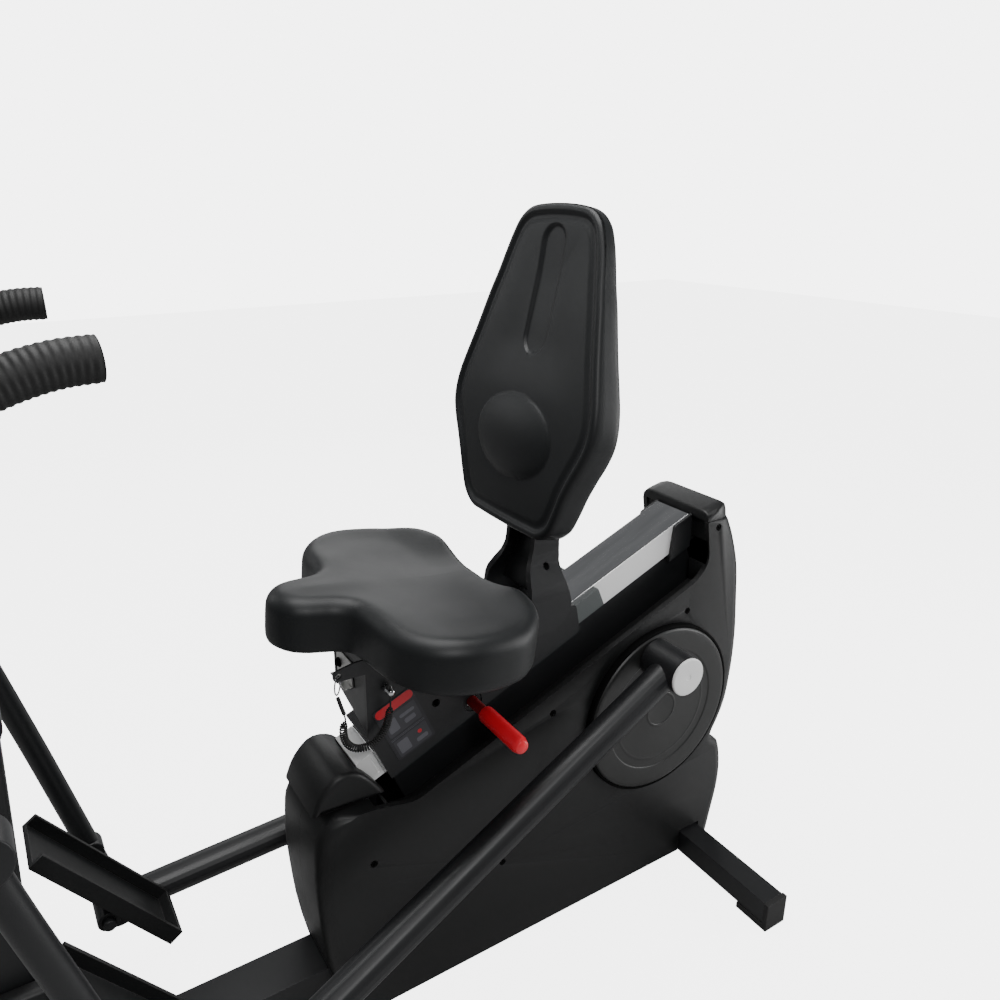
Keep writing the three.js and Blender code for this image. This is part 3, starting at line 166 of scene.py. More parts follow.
satin_black = surface("satin_black", (0.012, 0.0125, 0.0135), 0.42, grain=900, bump=0.12)
black_plastic = surface("black_plastic", (0.0085, 0.0088, 0.009), 0.44, grain=1300, bump=0.22,
                        specular=0.42)
disc_plastic = surface("disc_plastic", (0.019, 0.0195, 0.019), 0.42, grain=1300, bump=0.22)
soft_skin = surface("soft_skin", (0.008, 0.009, 0.0097), 0.47, grain=1100, bump=0.16,
                    specular=0.38, sheen=0.02)
chrome = surface("chrome", (0.82, 0.83, 0.84), 0.09, metallic=1.0, grain=60, bump=0.05,
                 vary=0.22, rough_vary=0.07, streak=(0.6, 3, 0.6))
brushed = surface("brushed", (0.78, 0.785, 0.79), 0.3, metallic=0.85, grain=300, bump=0.1,
                  vary=0.04, streak=(1, 9, 1))
# Painted reflection: the rail's satin sides made near-white and barely metallic to stand in for the bright
# studio they reflect.
rail_side_painted_glare = surface("rail_side_painted_glare", (0.95, 0.95, 0.945), 0.35, metallic=0.1, grain=80,
                      bump=0.05, vary=0.05, rough_vary=0.05)
bracket_light = surface("bracket_light", (0.95, 0.95, 0.94), 0.42, grain=500, bump=0.08, vary=0.03)
steel = surface("steel", (0.42, 0.42, 0.41), 0.36, metallic=1.0, grain=500, bump=0.1)
nylon = surface("grey_nylon", (0.09, 0.1, 0.1), 0.4, grain=700, bump=0.1)
zinc = surface("zinc", (0.5, 0.51, 0.52), 0.3, metallic=1.0, grain=600, bump=0.08)
cast = surface("cast_iron", (0.03, 0.032, 0.035), 0.55, metallic=0.4, grain=500, bump=0.4)
red_grip = surface("red_grip", (0.95, 0.018, 0.035), 0.36, grain=800, bump=0.06, vary=0.06,
                   coat=0.25)
red_metal = surface("red_metal", (0.2, 0.006, 0.008), 0.35, grain=900, bump=0.1)
rubber = surface("black_rubber", (0.009, 0.009, 0.009), 0.62, grain=900, bump=0.25)
glass = surface("screen_glass", (0.004, 0.006, 0.009), 0.1, grain=40, bump=0.0, coat=0.6)
film = surface("label_film", (0.022, 0.022, 0.026), 0.4, grain=700, bump=0.05)
# Near-black, for screw and bolt heads, and as painted shade in the gap round each crank disc.
hole_black = surface("hole_black", (0.002, 0.002, 0.002), 0.8, grain=700, bump=0.05,
                     specular=0.08)
ink_grey = surface("ink_grey", (0.11, 0.11, 0.125), 0.45, grain=900, bump=0.03, vary=0.2)
ink_dark = surface("ink_dark", (0.045, 0.045, 0.052), 0.45, grain=900, bump=0.03, vary=0.2)
ink_red = surface("ink_red", (0.55, 0.02, 0.03), 0.42, grain=900, bump=0.03, vary=0.08)

CAD_LOOKS = {
    "satin_black": satin_black, "black_plastic": black_plastic, "soft_black": soft_skin,
    "chrome": chrome, "brushed_aluminium": brushed, "steel": steel, "grey_nylon": nylon,
    "zinc": zinc, "cast_iron": cast, "red_grip": red_grip, "red_metal": red_metal,
    "black_rubber": rubber, "screen_glass": glass, "label_film": film,
}
SLOTS = {part["node"]: part["material_slot"] for part in frame["record"]["subparts"]}
BODIES = frame["record"]["behaviour"]["bodies"]
BODY_OF = {node: body for body, nodes in BODIES.items() for node in nodes}
for node, obj in frame["nodes"].items():
    obj.data.materials.clear()
    obj.data.materials.append(CAD_LOOKS[SLOTS[node]])

# ---- Mesh helpers --------------------------------------------------------------------------
LEAST_RADIUS = 0.01                  # keeps a turned skin's points on the axis apart


def piece(name, mesh, body, looks, replaces=(), angle=40):
    """A mesh as a shown piece that rides on a body."""
    obj = bpy.data.objects.new(name, mesh)
    bpy.context.scene.collection.objects.link(obj)
    for look_ in looks if isinstance(looks, (list, tuple)) else [looks]:
        mesh.materials.append(look_)
    mesh.shade_smooth()
    mesh.set_sharp_from_angle(angle=math.radians(angle))
    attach(obj, body)
    if replaces:
        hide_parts(*replaces)
    return obj


def mesh_of(name, points, faces, marks=None):
    """A mesh with its normals outwards; marks are the faces' material indices."""
    mesh = bpy.data.meshes.new(name)
    mesh.from_pydata([tuple(p) for p in points], [], faces)
    mesh.validate()
    if marks:
        mesh.polygons.foreach_set("material_index", marks)
    work = bmesh.new()
    work.from_mesh(mesh)
    bmesh.ops.recalc_face_normals(work, faces=work.faces)
    work.to_mesh(mesh)
    work.free()
    return mesh


def rings_mesh(name, rings, closed_ends=True):
    """A skin through rings of equal count, closed by a centre fan at each end or left open."""
    points = [p for ring in rings for p in ring]
    count = len(rings[0])
    faces = []
    for r in range(len(rings) - 1):
        for i in range(count):
            a = r * count + i
            b = r * count + (i + 1) % count
            faces.append((a, b, b + count, a + count))
    if closed_ends:
        for base, ring in ((0, rings[0]), ((len(rings) - 1) * count, rings[-1])):
            middle = Vector((0, 0, 0))
            for p in ring:
                middle += p
            points.append(middle / count)
            hub = len(points) - 1
            faces += [(base + i, base + (i + 1) % count, hub) for i in range(count)]
    return mesh_of(name, points, faces)


def lathe(name, start, direction, profile, sides=96):
    """A profile of (radius, distance along direction) turned about a line, in millimetres.

    A profile that ends where it starts gives a hollow ring.
    """
    axis = direction.normalized()
    side = axis.orthogonal().normalized()
    other = axis.cross(side)
    rings = []
    for radius, along in profile:
        centre = start + axis * (along / 1000)
        ring = []
        reach = max(radius, LEAST_RADIUS) / 1000
        for i in range(sides):
            angle = 2 * math.pi * i / sides
            ring.append(centre + (side * math.cos(angle) + other * math.sin(angle)) * reach)
        rings.append(ring)
    if profile[0] != profile[-1]:
        return rings_mesh(name, rings)
    mesh = rings_mesh(name, rings, closed_ends=False)
    work = bmesh.new()
    work.from_mesh(mesh)
    bmesh.ops.remove_doubles(work, verts=work.verts, dist=1e-6)
    bmesh.ops.recalc_face_normals(work, faces=work.faces)
    work.to_mesh(mesh)
    work.free()
    return mesh


def rounded(profile, radius, steps=4):
    """Rounds the inner corners of a turned profile."""
    out = [profile[0]]
    for before, corner, after in zip(profile, profile[1:], profile[2:]):
        b, c, a = Vector(before), Vector(corner), Vector(after)
        reach = min(radius, (b - c).length * 0.45, (a - c).length * 0.45)
        if reach < 0.05:
            out.append(corner)
            continue
        entry = c + (b - c).normalized() * reach
        leave = c + (a - c).normalized() * reach
        for k in range(steps + 1):
            t = k / steps
            p = entry * (1 - t) ** 2 + c * 2 * t * (1 - t) + leave * t ** 2
            out.append((p.x, p.y))
    out.append(profile[-1])
    return out


def refine(node, look_, width=1.0, angle=38, dissolve=1.0):
    """The CAD node with its edges softened and its curved faces shaded smooth."""
    mesh = frame["nodes"][node].data.copy()
    mesh.materials.clear()
    work = bmesh.new()
    work.from_mesh(mesh)
    bmesh.ops.remove_doubles(work, verts=work.verts, dist=2e-6)
    bmesh.ops.dissolve_limit(work, angle_limit=math.radians(dissolve), verts=work.verts,
                             edges=work.edges, delimit=set())
    work.to_mesh(mesh)
    work.free()
    obj = piece(node + "_skin", mesh, BODY_OF[node], look_, [node], angle)
    if width > 0:
        soft = obj.modifiers.new("soft_edge", "BEVEL")
        soft.width = width / 1000
        soft.segments = 2
        soft.limit_method = "ANGLE"
        soft.angle_limit = math.radians(angle)
        soft.use_clamp_overlap = True
        soft.harden_normals = True
    return obj


def closed_curve(points, count):
    """Evenly spaced points on a closed centripetal Catmull-Rom curve."""
    dense = []
    total = len(points)
    for i in range(total):
        p0, p1, p2, p3 = (Vector(points[(i + k) % total]) for k in (-1, 0, 1, 2))
        t1 = math.sqrt((p1 - p0).length)
        t2 = t1 + math.sqrt((p2 - p1).length)
        t3 = t2 + math.sqrt((p3 - p2).length)
        for k in range(40):
            t = t1 + (t2 - t1) * k / 40
            a1 = p0 * ((t1 - t) / t1) + p1 * (t / t1)
            a2 = p1 * ((t2 - t) / (t2 - t1)) + p2 * ((t - t1) / (t2 - t1))
            a3 = p2 * ((t3 - t) / (t3 - t2)) + p3 * ((t - t2) / (t3 - t2))
            b1 = a1 * ((t2 - t) / t2) + a2 * (t / t2)
            b2 = a2 * ((t3 - t) / (t3 - t1)) + a3 * ((t - t1) / (t3 - t1))
            dense.append(b1 * ((t2 - t) / (t2 - t1)) + b2 * ((t - t1) / (t2 - t1)))
    lengths = [0.0]
    for a, b in zip(dense, dense[1:] + dense[:1]):
        lengths.append(lengths[-1] + (b - a).length)
    out = []
    j = 0
    for i in range(count):
        want = lengths[-1] * i / count
        while lengths[j + 1] < want:
            j += 1
        share = (want - lengths[j]) / (lengths[j + 1] - lengths[j])
        out.append(dense[j].lerp(dense[(j + 1) % len(dense)], share))
    return out


def open_curve(points, count):
    """Evenly spaced points on an open Catmull-Rom curve."""
    ends = [points[0] * 2 - points[1]] + list(points) + [points[-1] * 2 - points[-2]]
    dense = []
    for p0, p1, p2, p3 in zip(ends, ends[1:], ends[2:], ends[3:]):
        for k in range(30):
            t = k / 30
            dense.append(0.5 * (2 * p1 + (p2 - p0) * t + (2 * p0 - 5 * p1 + 4 * p2 - p3) * t * t
                                + (3 * p1 - p0 - 3 * p2 + p3) * t ** 3))
    dense.append(points[-1].copy())
    lengths = [0.0]
    for a, b in zip(dense, dense[1:]):
        lengths.append(lengths[-1] + (b - a).length)
    out = []
    j = 0
    for i in range(count):
        want = lengths[-1] * i / (count - 1)
        while j < len(dense) - 2 and lengths[j + 1] < want:
            j += 1
        share = (want - lengths[j]) / max(1e-12, lengths[j + 1] - lengths[j])
        out.append(dense[j].lerp(dense[j + 1], min(1.0, share)))
    return out, lengths[-1]


def sweep(name, line, stations, sides=48):
    """A round bar along a line; stations are (share of the line, radius in millimetres)."""
    normal = Vector((0, 1, 0))
    rings = []
    last = len(line) - 1
    for share, radius in stations:
        i = share * last
        low = min(int(i), last - 1)
        centre = line[low].lerp(line[low + 1], i - low)
        tangent = (line[low + 1] - line[low]).normalized()
        normal = (normal - tangent * normal.dot(tangent)).normalized()
        other = tangent.cross(normal)
        ring = []
        for k in range(sides):
            angle = 2 * math.pi * k / sides
            out = normal * math.cos(angle) + other * math.sin(angle)
            ring.append(centre + out * (radius / 1000))
        rings.append(ring)
    return rings_mesh(name, rings)


def merged(name, meshes):
    """Several meshes as one."""
    work = bmesh.new()
    for mesh in meshes:
        work.from_mesh(mesh)
        bpy.data.meshes.remove(mesh)
    out = bpy.data.meshes.new(name)
    work.to_mesh(out)
    work.free()
    return out


def edge_distance(outline):
    """A function giving the distance of a point from a closed outline."""
    tree = KDTree(len(outline))
    for i, p in enumerate(outline):
        tree.insert((p[0], p[1], 0), i)
    tree.balance()

    def distance(x, y):
        _, i, _ = tree.find((x, y, 0))
        best = 1e9
        for k in (-1, 0):
            a = outline[(i + k) % len(outline)]
            b = outline[(i + k + 1) % len(outline)]
            seg = b - a
            t = max(0.0, min(1.0, (Vector((x, y)) - a).dot(seg) / seg.length_squared))
            best = min(best, (Vector((x, y)) - a - seg * t).length)
        return best
    return distance


def smoothstep(low, high, value):
    """Rises smoothly from 0 at low to 1 at high."""
    t = max(0.0, min(1.0, (value - low) / (high - low)))
    return t * t * (3 - 2 * t)


# ---- Saddle --------------------------------------------------------------------------------
SADDLE_HEIGHT = 76.0
SADDLE_ROUND = 25.0                  # radius of the top edge
SEAT_HOLLOW = 9.0                    # depth of the two dips under the rider
NOSE_RIDGE = 2.5
CORNER_RISE = 14.0                   # of the two rear corners
REAR_DIP = 5.0                       # between the rear corners
WING_FALL = 4.0                      # of the front edges beside the nose
OUTLINE_POINTS = 360

half_saddle = [(NOSE_REACH, 0), (240, 24), (228, 40), (210, 50), (190, 55), (170, 60), (154, 72),
               (147, 92), (144, 110), (141, 138), (136, 165), (125, 191), (108, 213), (84, 229),
               (50, 239), (10, 238), (-28, 229), (-56, 211), (-77, 187), (-90, 158), (-96, 125),
               (-96, 85), (-94, 42)]
other_half = [(x, -y) for x, y in reversed(half_saddle[1:])]
saddle = closed_curve(half_saddle + [(-94, 0)] + other_half, OUTLINE_POINTS)
saddle_edge = edge_distance(saddle)


def saddle_top(x, y):
    """Height of the seat's top face above its underside."""
    d = saddle_edge(x, y)
    height = SADDLE_HEIGHT
    if d < SADDLE_ROUND:
        height -= SADDLE_ROUND - math.sqrt(max(0.0, SADDLE_ROUND ** 2 - (SADDLE_ROUND - d) ** 2))
    inner = smoothstep(4, 70, d)
    hollow = math.exp(-((x - 5) / 85) ** 2) * (0.55 + 0.45 * math.exp(-((abs(y) - 95) / 70) ** 2))
    height -= SEAT_HOLLOW * inner * hollow
    height += NOSE_RIDGE * inner * math.exp(-(y / 30) ** 2) * smoothstep(60, 150, x)
    rear = smoothstep(20, 95, -x)
    dip = REAR_DIP * (1 - smoothstep(20, 75, abs(y)))
    height += rear * (CORNER_RISE * smoothstep(55, 130, abs(y)) - dip)
    height -= WING_FALL * smoothstep(60, 135, x) * smoothstep(90, 180, abs(y))
    return height


def build_saddle():
    """Rings from the middle of the top outwards, down the side and back under."""
    centre = Vector((20, 0))
    top = [0.06, 0.12, 0.2, 0.28, 0.36, 0.44, 0.52, 0.6, 0.67, 0.73, 0.78, 0.82, 0.855, 0.885,
           0.91, 0.93, 0.948, 0.963, 0.975, 0.985, 0.992, 0.997, 1.0]
    side = [(1.0, 44), (1.0, 36), (0.999, 28), (0.998, 18), (0.995, 10), (0.99, 6), (0.982, 2.6),
            (0.97, 0.9), (0.955, 0.4), (0.6, 0.4), (0.2, 0.4)]
    rings = []
    for scale, height in [(scale, None) for scale in top] + side:
        ring = []
        for p in saddle:
            q = centre + (p - centre) * scale
            ring.append(seat_at(q.x, q.y, saddle_top(q.x, q.y) if height is None else height))
        rings.append(ring)
    return rings_mesh("saddle", rings)


saddle_piece = piece("saddle_skin", build_saddle(), "carriage", soft_skin,
                     ["seat_cushion"], 60)

# ---- Backrest pad --------------------------------------------------------------------------
PAD_DEPTH = 52                       # at the foot, from the front face's datum to the back
PAD_TAPER = 0.045                    # loss of depth per millimetre of height
PAD_ROUND = 8                        # radius of the front edge
PAD_BELLY = 6.5                      # how far the lower back stands out
PAD_TOP_BACK = 4.5
PAD_FOOT_BACK = 5
PIPING_STEP = 4.5                    # down from the rim to the line round the panel
PANEL_RISE = 2.5
PANEL_HOLLOW = 5.0
GROOVE_DEPTH = 4.5
GROOVE_LOW, GROOVE_HIGH, GROOVE_RADIUS = 292.0, 428.0, 28.0
DOME_Z, DOME_HALF_WIDTH, DOME_HALF_HEIGHT, DOME_RISE = 140, 98, 64, 15.0

half_pad = [(60, 0), (95, 3), (120, 20), (135, 49), (147, 80), (161, 109), (175, 135), (185, 161),
            (187, 185), (183, 213), (174, 243), (162, 279), (151, 315), (141, 349), (130, 381),
            (121, 411), (111, 439), (98, 462), (76, 477), (40, PAD_HEIGHT)]
PAD_MIDDLE = Vector((0, PAD_HEIGHT / 2))
pad_outline = closed_curve(half_pad + [(-y, z) for y, z in reversed(half_pad)], OUTLINE_POINTS)
pad_edge = edge_distance(pad_outline)


def groove_depth(y, z):
    """Depth of a point inside the long groove's outline, negative outside it."""
    return GROOVE_RADIUS - math.hypot(y, z - max(GROOVE_LOW, min(GROOVE_HIGH, z)))


def pad_front(y, z):
    """How far the front face stands out at a point of the pad."""
    d = pad_edge(y, z)
    out = PAD_BELLY * math.exp(-((z - 186) / 112) ** 2)
    out -= PAD_TOP_BACK * smoothstep(310, 455, z) + PAD_FOOT_BACK * (1 - smoothstep(0, 95, z))
    if d < PAD_ROUND:
        out -= PAD_ROUND - math.sqrt(max(0.0, PAD_ROUND ** 2 - (PAD_ROUND - d) ** 2))
    out -= PIPING_STEP * smoothstep(9, 17, d)
    out += PANEL_RISE * smoothstep(19, 30, d)
    out -= PANEL_HOLLOW * smoothstep(30, 120, d) * smoothstep(200, 290, z)
    out -= GROOVE_DEPTH * smoothstep(-1.0, 4.0, groove_depth(y, z))
    reach = (y / DOME_HALF_WIDTH) ** 2 + ((z - DOME_Z) / DOME_HALF_HEIGHT) ** 2
    if reach < 1:
        out += DOME_RISE * (1 - reach) ** 0.7
    return out


def build_pad():
    """Rings from the middle of the front face outwards, round the side and over the back."""
    def ring(scale, depth):
        out = []
        for p in pad_outline:
            q = PAD_MIDDLE + (p - PAD_MIDDLE) * scale
            x = pad_front(q.x, q.y) if depth is None else -depth * (PAD_DEPTH - PAD_TAPER * q.y)
            out.append(pad_at(x, q.x, q.y))
        return out

    front = [1.0]
    while front[-1] > 0.02:
        front.append(front[-1] - (0.006 if front[-1] > 0.78 else 0.012))
    rings = [ring(scale, None) for scale in reversed(front)]
    sides = [(1.0, 0.28), (1.0, 0.5), (1.0, 0.72), (0.996, 0.86), (0.988, 0.94), (0.975, 0.985),
             (0.95, 1.0), (0.6, 1.0), (0.2, 1.0)]
    rings += [ring(scale, depth) for scale, depth in sides]
    return rings_mesh("pad", rings)


pad_piece = piece("backrest_pad_skin", build_pad(), "carriage", soft_skin,
                  ["backrest_pad"], 60)

# ---- Crank discs, pins and caps ------------------------------------------------------------
Y_AXIS = Vector((0, 1, 0))
SIDES = ((1, "left"), (-1, "right"))
DISC_BACK_Y = 84
CRANK_PIN_Y = 97
ROD_CAP_Y = 178.3
# Turned profiles: radius and distance outwards.
DISC_PROFILE = [(0.0, 13.0), (29.5, 13.0), (30.2, 13.8), (33, 13.6), (34, 12.8), (96, 12.6),
                (99, 13.1), (102, 12.6), (115.5, 12.6), (117.5, 14), (149, 14), (154, 13.4),
                (157, 10.5), (157, 0), (0.0, 0)]
PIN_PROFILE = [(0, 0), (15, 0), (15, 4.3), (0, 4.3)]
CAP_PROFILE = [(0, 0), (33.2, 0), (33.4, 3.6), (32, 5), (5.2, 5), (4.6, 4.3), (0, 4.3)]
# A near-black ring in the gap round each crank disc: painted shade between the disc's rim and the wall of
# its recess.
GAP_SHADE_PROFILE = [(157.6, 82.3), (162.2, 82.3), (162.2, 93.4), (161.6, 94.6), (160.2, 95.4),
                (157.6, 95.4), (157.6, 82.3)]

for side, name in SIDES:
    outwards = Y_AXIS * side
    disc = lathe("crank_disc", at(0, side * DISC_BACK_Y, CRANK_Z), outwards,
                 rounded(DISC_PROFILE, 0.8, 3), 160)
    piece(f"crank_disc_{name}_skin", disc, "crank", disc_plastic,
          [f"crank_disc_{name}"], 35)
    pin_x = side * CRANK_RADIUS * math.cos(CRANK_ANGLE)
    pin_z = CRANK_Z + side * CRANK_RADIUS * math.sin(CRANK_ANGLE)
    pin = lathe("crank_pin", at(pin_x, side * CRANK_PIN_Y, pin_z), outwards,
                rounded(PIN_PROFILE, 0.4), 64)
    piece(f"crank_pin_{name}", pin, "crank", steel)
    cap = lathe("rod_cap", at(pin_x, side * ROD_CAP_Y, pin_z), outwards, rounded(CAP_PROFILE, 0.7, 3))
    piece(f"rod_cap_{name}_skin", cap, f"rod_{name}", bracket_light,
          [f"rod_cap_{name}"], 35)
    # Painted shade: a near-black ring that darkens the gap round the disc.
    shade_ring = lathe("disc_gap_shade", at(0, 0, CRANK_Z), outwards, GAP_SHADE_PROFILE, 128)
    piece(f"disc_gap_shade_{name}", shade_ring, "frame", hole_black, angle=35)

# ---- CAD nodes with softened edges ---------------------------------------------------------
MOULDED_EDGE = 2.0
RAIL_EDGE = 1.6
METAL_EDGE = 0.8
METAL_EDGED = [
    "carriage_frame", "backrest_bracket", "backrest_shell", "rear_cap", "front_hood",
    "rail_end_bracket", "rail_end_block", "main_beam", "front_stabilizer", "rear_stabilizer",
    "mast", "mast_cover", "console_housing", "pedal_left", "pedal_right", "lock_lever",
    "foot_rear_left", "foot_rear_right", "foot_front_left", "foot_front_right",
    "connecting_rod_left", "connecting_rod_right", "lever_grip", "lock_pin", "transport_wheels",
    "rail_base", "rail_front_post", "glide_block_rear", "glide_block_front",
]
OTHER_LOOKS = {"rail_end_bracket": bracket_light}

for node in ("shroud_left", "shroud_right"):
    refine(node, black_plastic, MOULDED_EDGE)
for node in METAL_EDGED:
    refine(node, OTHER_LOOKS.get(node, CAD_LOOKS[SLOTS[node]]), METAL_EDGE)

# The rail is polished chrome on top; its satin sides get a near-white, barely metallic surface, a painted
# reflection of the bright studio.
rail_piece = refine("seat_rail", chrome, RAIL_EDGE)
rail_piece.data.materials.append(rail_side_painted_glare)
for face in rail_piece.data.polygons:
    face.material_index = 1 if abs(face.normal.y) > 0.7 else 0

# ---- Swing arms ----------------------------------------------------------------------------
ARM_PIVOT = (1017.0, 690.0)          # X and Z of the shaft that both arms turn on
ARM_Y = 276.0
ARM_RADIUS = 17.0
EYE_PIN_RADIUS = 10                  # of the pin through the lower pivot
PEDAL_AXLE_RADIUS = 9
GRIP_RADIUS = 21.0
GRIP_RIDGE = 0.45
GRIP_STEPS = 120
GRIP_LENGTH = 0.110                  # metres, along X
ARM_LENGTH = math.hypot(ARM_PIVOT[0] - LEFT_EYE[0], ARM_PIVOT[1] - LEFT_EYE[1])
LEFT_ANGLE = math.atan2(LEFT_EYE[0] - ARM_PIVOT[0], ARM_PIVOT[1] - LEFT_EYE[1])
PEDAL_RISE = 92.0                    # from the arm's lower pivot to the pedal's axle
# Stations of the arm above its pivot: forwards, inwards, up, as they stand on the left arm.
ARM_UPPER = [(0, 0, 0), (6, 0, 130), (10, 0, 260), (-8, 4, 350), (-50, 14, 400), (-118, 26, 424),
             (-168, 32, 428)]


def right_arm_turn():
    """How much further back than the left arm the right one stands, from its rod's equal reach."""
    pin = (CRANK_RADIUS * math.cos(CRANK_ANGLE), CRANK_RADIUS * math.sin(CRANK_ANGLE))
    reach = math.hypot(LEFT_EYE[0] - pin[0], LEFT_EYE[1] - CRANK_Z - pin[1])
    far_x = ARM_PIVOT[0] + pin[0]
    far_z = ARM_PIVOT[1] - CRANK_Z + pin[1]
    away = math.hypot(far_x, far_z)
    bearing = math.atan2(-far_x, far_z)
    return bearing + math.acos((ARM_LENGTH ** 2 + away ** 2 - reach ** 2) / (2 * ARM_LENGTH * away))


def arm_point(side, angle, x, y, z):
    """A point of an arm: x and z as it hangs at the left arm's angle, y out from the machine."""
    extra = angle - LEFT_ANGLE
    px = x * math.cos(extra) - z * math.sin(extra)
    pz = x * math.sin(extra) + z * math.cos(extra)
    return at(ARM_PIVOT[0] + px, side * y, ARM_PIVOT[1] + pz)


def bead(radius, half_length):
    """The turned profile of a short drum with soft edges, centred on its own middle."""
    return rounded([(0, -half_length), (radius, -half_length), (radius, half_length),
                    (0, half_length)], 2.5, 4)


def stub(radius, start, soft_edge):
    """The turned profile of a pin from start out to the arm, bevelled at its inner end."""
    return [(0, start), (radius - soft_edge, start), (radius, start + 1), (radius, ARM_Y), (0, ARM_Y)]


def build_arm(side, name, angle):
    """One arm with its hub, lower pivot and pedal axle, and the grip on its upper end."""
    body = f"arm_{name}"
    down = (math.sin(LEFT_ANGLE), -math.cos(LEFT_ANGLE))
    foot = [arm_point(side, angle, down[0] * d, ARM_Y, down[1] * d) for d in (ARM_LENGTH, ARM_LENGTH / 2)]
    upper = [arm_point(side, angle, x, ARM_Y - y, z) for x, y, z in ARM_UPPER]
    line, _ = open_curve(foot + upper, 240)
    shares = [i / 200 for i in range(200)]
    tube_end = [(0.998, 16.6), (1.0, 15)]
    eye = arm_point(side, angle, down[0] * ARM_LENGTH, 0, down[1] * ARM_LENGTH)
    pedal_reach = ARM_LENGTH - PEDAL_RISE
    boss = arm_point(side, angle, down[0] * pedal_reach, 0, down[1] * pedal_reach)
    out = Vector((0, side * ARM_Y / 1000, 0))
    parts = [
        sweep("tube", line, [(share, ARM_RADIUS) for share in shares] + tube_end),
        lathe("hub", arm_point(side, angle, 0, ARM_Y, 0), Y_AXIS, bead(30, 22)),
        lathe("eye", eye + out, Y_AXIS, bead(27, 18)),
        lathe("eye_pin", eye, Y_AXIS * side, stub(EYE_PIN_RADIUS, 205, 0.6), 48),
        lathe("boss", boss + out, Y_AXIS, bead(20, 18)),
        lathe("axle", boss, Y_AXIS * side, stub(PEDAL_AXLE_RADIUS, 84, 0.8), 48),
    ]
    piece(f"swing_arm_{name}_skin", merged("arm", parts), body, satin_black,
          [f"swing_arm_{name}"], 35)
    stations = [(0.0, 17.2), (0.004, 20.4), (0.012, GRIP_RADIUS)]
    for k in range(1, GRIP_STEPS + 1):
        ridge = GRIP_RIDGE * math.sin(k * math.pi / 4)
        stations.append((0.012 + 0.97 * k / GRIP_STEPS, GRIP_RADIUS + ridge))
    stations += [(0.988, 20.6), (0.995, 19.2), (0.999, 16.0), (1.0, 10.0)]
    upper_half = len(line) // 2
    start = next(i for i, p in enumerate(line) if i > upper_half and abs(p.x - line[-1].x) < GRIP_LENGTH)
    grip_line, _ = open_curve(line[start::6] + [line[-1]], 160)
    piece(f"hand_grip_{name}_skin", sweep("grip", grip_line, stations), body, rubber,
          [f"hand_grip_{name}"], 50)


build_arm(1, "left", LEFT_ANGLE)
build_arm(-1, "right", right_arm_turn())

# ---- Curly lanyard -------------------------------------------------------------------------
WIRE = 2.5                           # thickness
COIL_RADIUS = 6.0 - WIRE / 2
COIL_PITCH = 3.5
COIL_STEPS = 14                      # points in a turn
COIL_FADE = 3 * COIL_STEPS           # points over which the coil opens at each end
CORD_EXIT = (584, 69, 562)           # on the clip
CORD_ROUTE = [(583, 70, 556), (588, 71, 540), (586, 72, 522), (577, 73, 509), (564, 74, 503),
              (549, 75, 504), (536, 75, 511), (526, 76, 524), (520, 77, 542), (517, 78, 560)]
CORD_TAIL = [(516.4, 77, 565), (515.6, 75.5, 570), (515.2, 74.5, 573.5)]


def build_lanyard():
    """The wire, coiled round its hanging route, and its length in metres."""
    route = [at(*p) for p in CORD_ROUTE]
    _, length = open_curve(route, 50)
    turns = int(length * 1000 / COIL_PITCH)
    line, _ = open_curve(route, turns * COIL_STEPS + 1)
    normal = Vector((0, 1, 0))
    points = [at(*CORD_EXIT), at(583.6, 69.6, 559)]
    for i, centre in enumerate(line):
        tangent = (line[min(i + 1, len(line) - 1)] - line[max(i - 1, 0)]).normalized()
        normal = (normal - tangent * normal.dot(tangent)).normalized()
        other = tangent.cross(normal)
        angle = 2 * math.pi * i / COIL_STEPS
        grow = smoothstep(0, COIL_FADE, i) * smoothstep(0, COIL_FADE, len(line) - 1 - i)
        reach = COIL_RADIUS / 1000 * grow
        points.append(centre + (normal * math.cos(angle) + other * math.sin(angle)) * reach)
    points += [at(*p) for p in CORD_TAIL]
    curve = bpy.data.curves.new("lanyard", "CURVE")
    curve.dimensions = "3D"
    spline = curve.splines.new("POLY")
    spline.points.add(len(points) - 1)
    for knot, p in zip(spline.points, points):
        knot.co = (*p, 1)
    curve.bevel_depth = WIRE / 2000
    curve.bevel_resolution = 2
    curve.use_fill_caps = True
    obj = bpy.data.objects.new("lanyard_coil", curve)
    bpy.context.scene.collection.objects.link(obj)
    curve.materials.append(rubber)
    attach(obj, "carriage")
    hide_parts("lanyard_cord")
    real = sum((b - a).length for a, b in zip(points, points[1:]))
    return obj, real


lanyard, lanyard_length = build_lanyard()
clip_piece = refine("lanyard_clip", black_plastic, 0.0)

# ---- Label and slot liners -----------------------------------------------------------------
LABEL_Y = 61.12
FILM_THICKNESS = 0.12
MARK_THICKNESS = 0.1
LABEL_INKS = [ink_red, ink_dark, ink_grey]
RED, DARK, GREY = range(len(LABEL_INKS))
LINER_THICKNESS = 1.3
LINER_OUTLINE = [(-74, -52), (-97.5, -1), (-100, -1), (-100, -52)]


def plate_uw(shapes, y0, thickness):
    """Flat plates square to Y; each shape is an outline along the rail and a material index."""
    points, faces, marks = [], [], []
    for outline, mark in shapes:
        base = len(points)
        count = len(outline)
        points += [rail_at(u, y0, w) for u, w in outline]
        points += [rail_at(u, y0 + thickness, w) for u, w in outline]
        faces.append(tuple(base + i for i in range(count)))
        faces.append(tuple(base + count + i for i in range(count)))
        for i in range(count):
            j = (i + 1) % count
            faces.append((base + i, base + j, base + count + j, base + count + i))
        marks += [mark] * (count + 2)
    return mesh_of("plates", points, faces, marks)


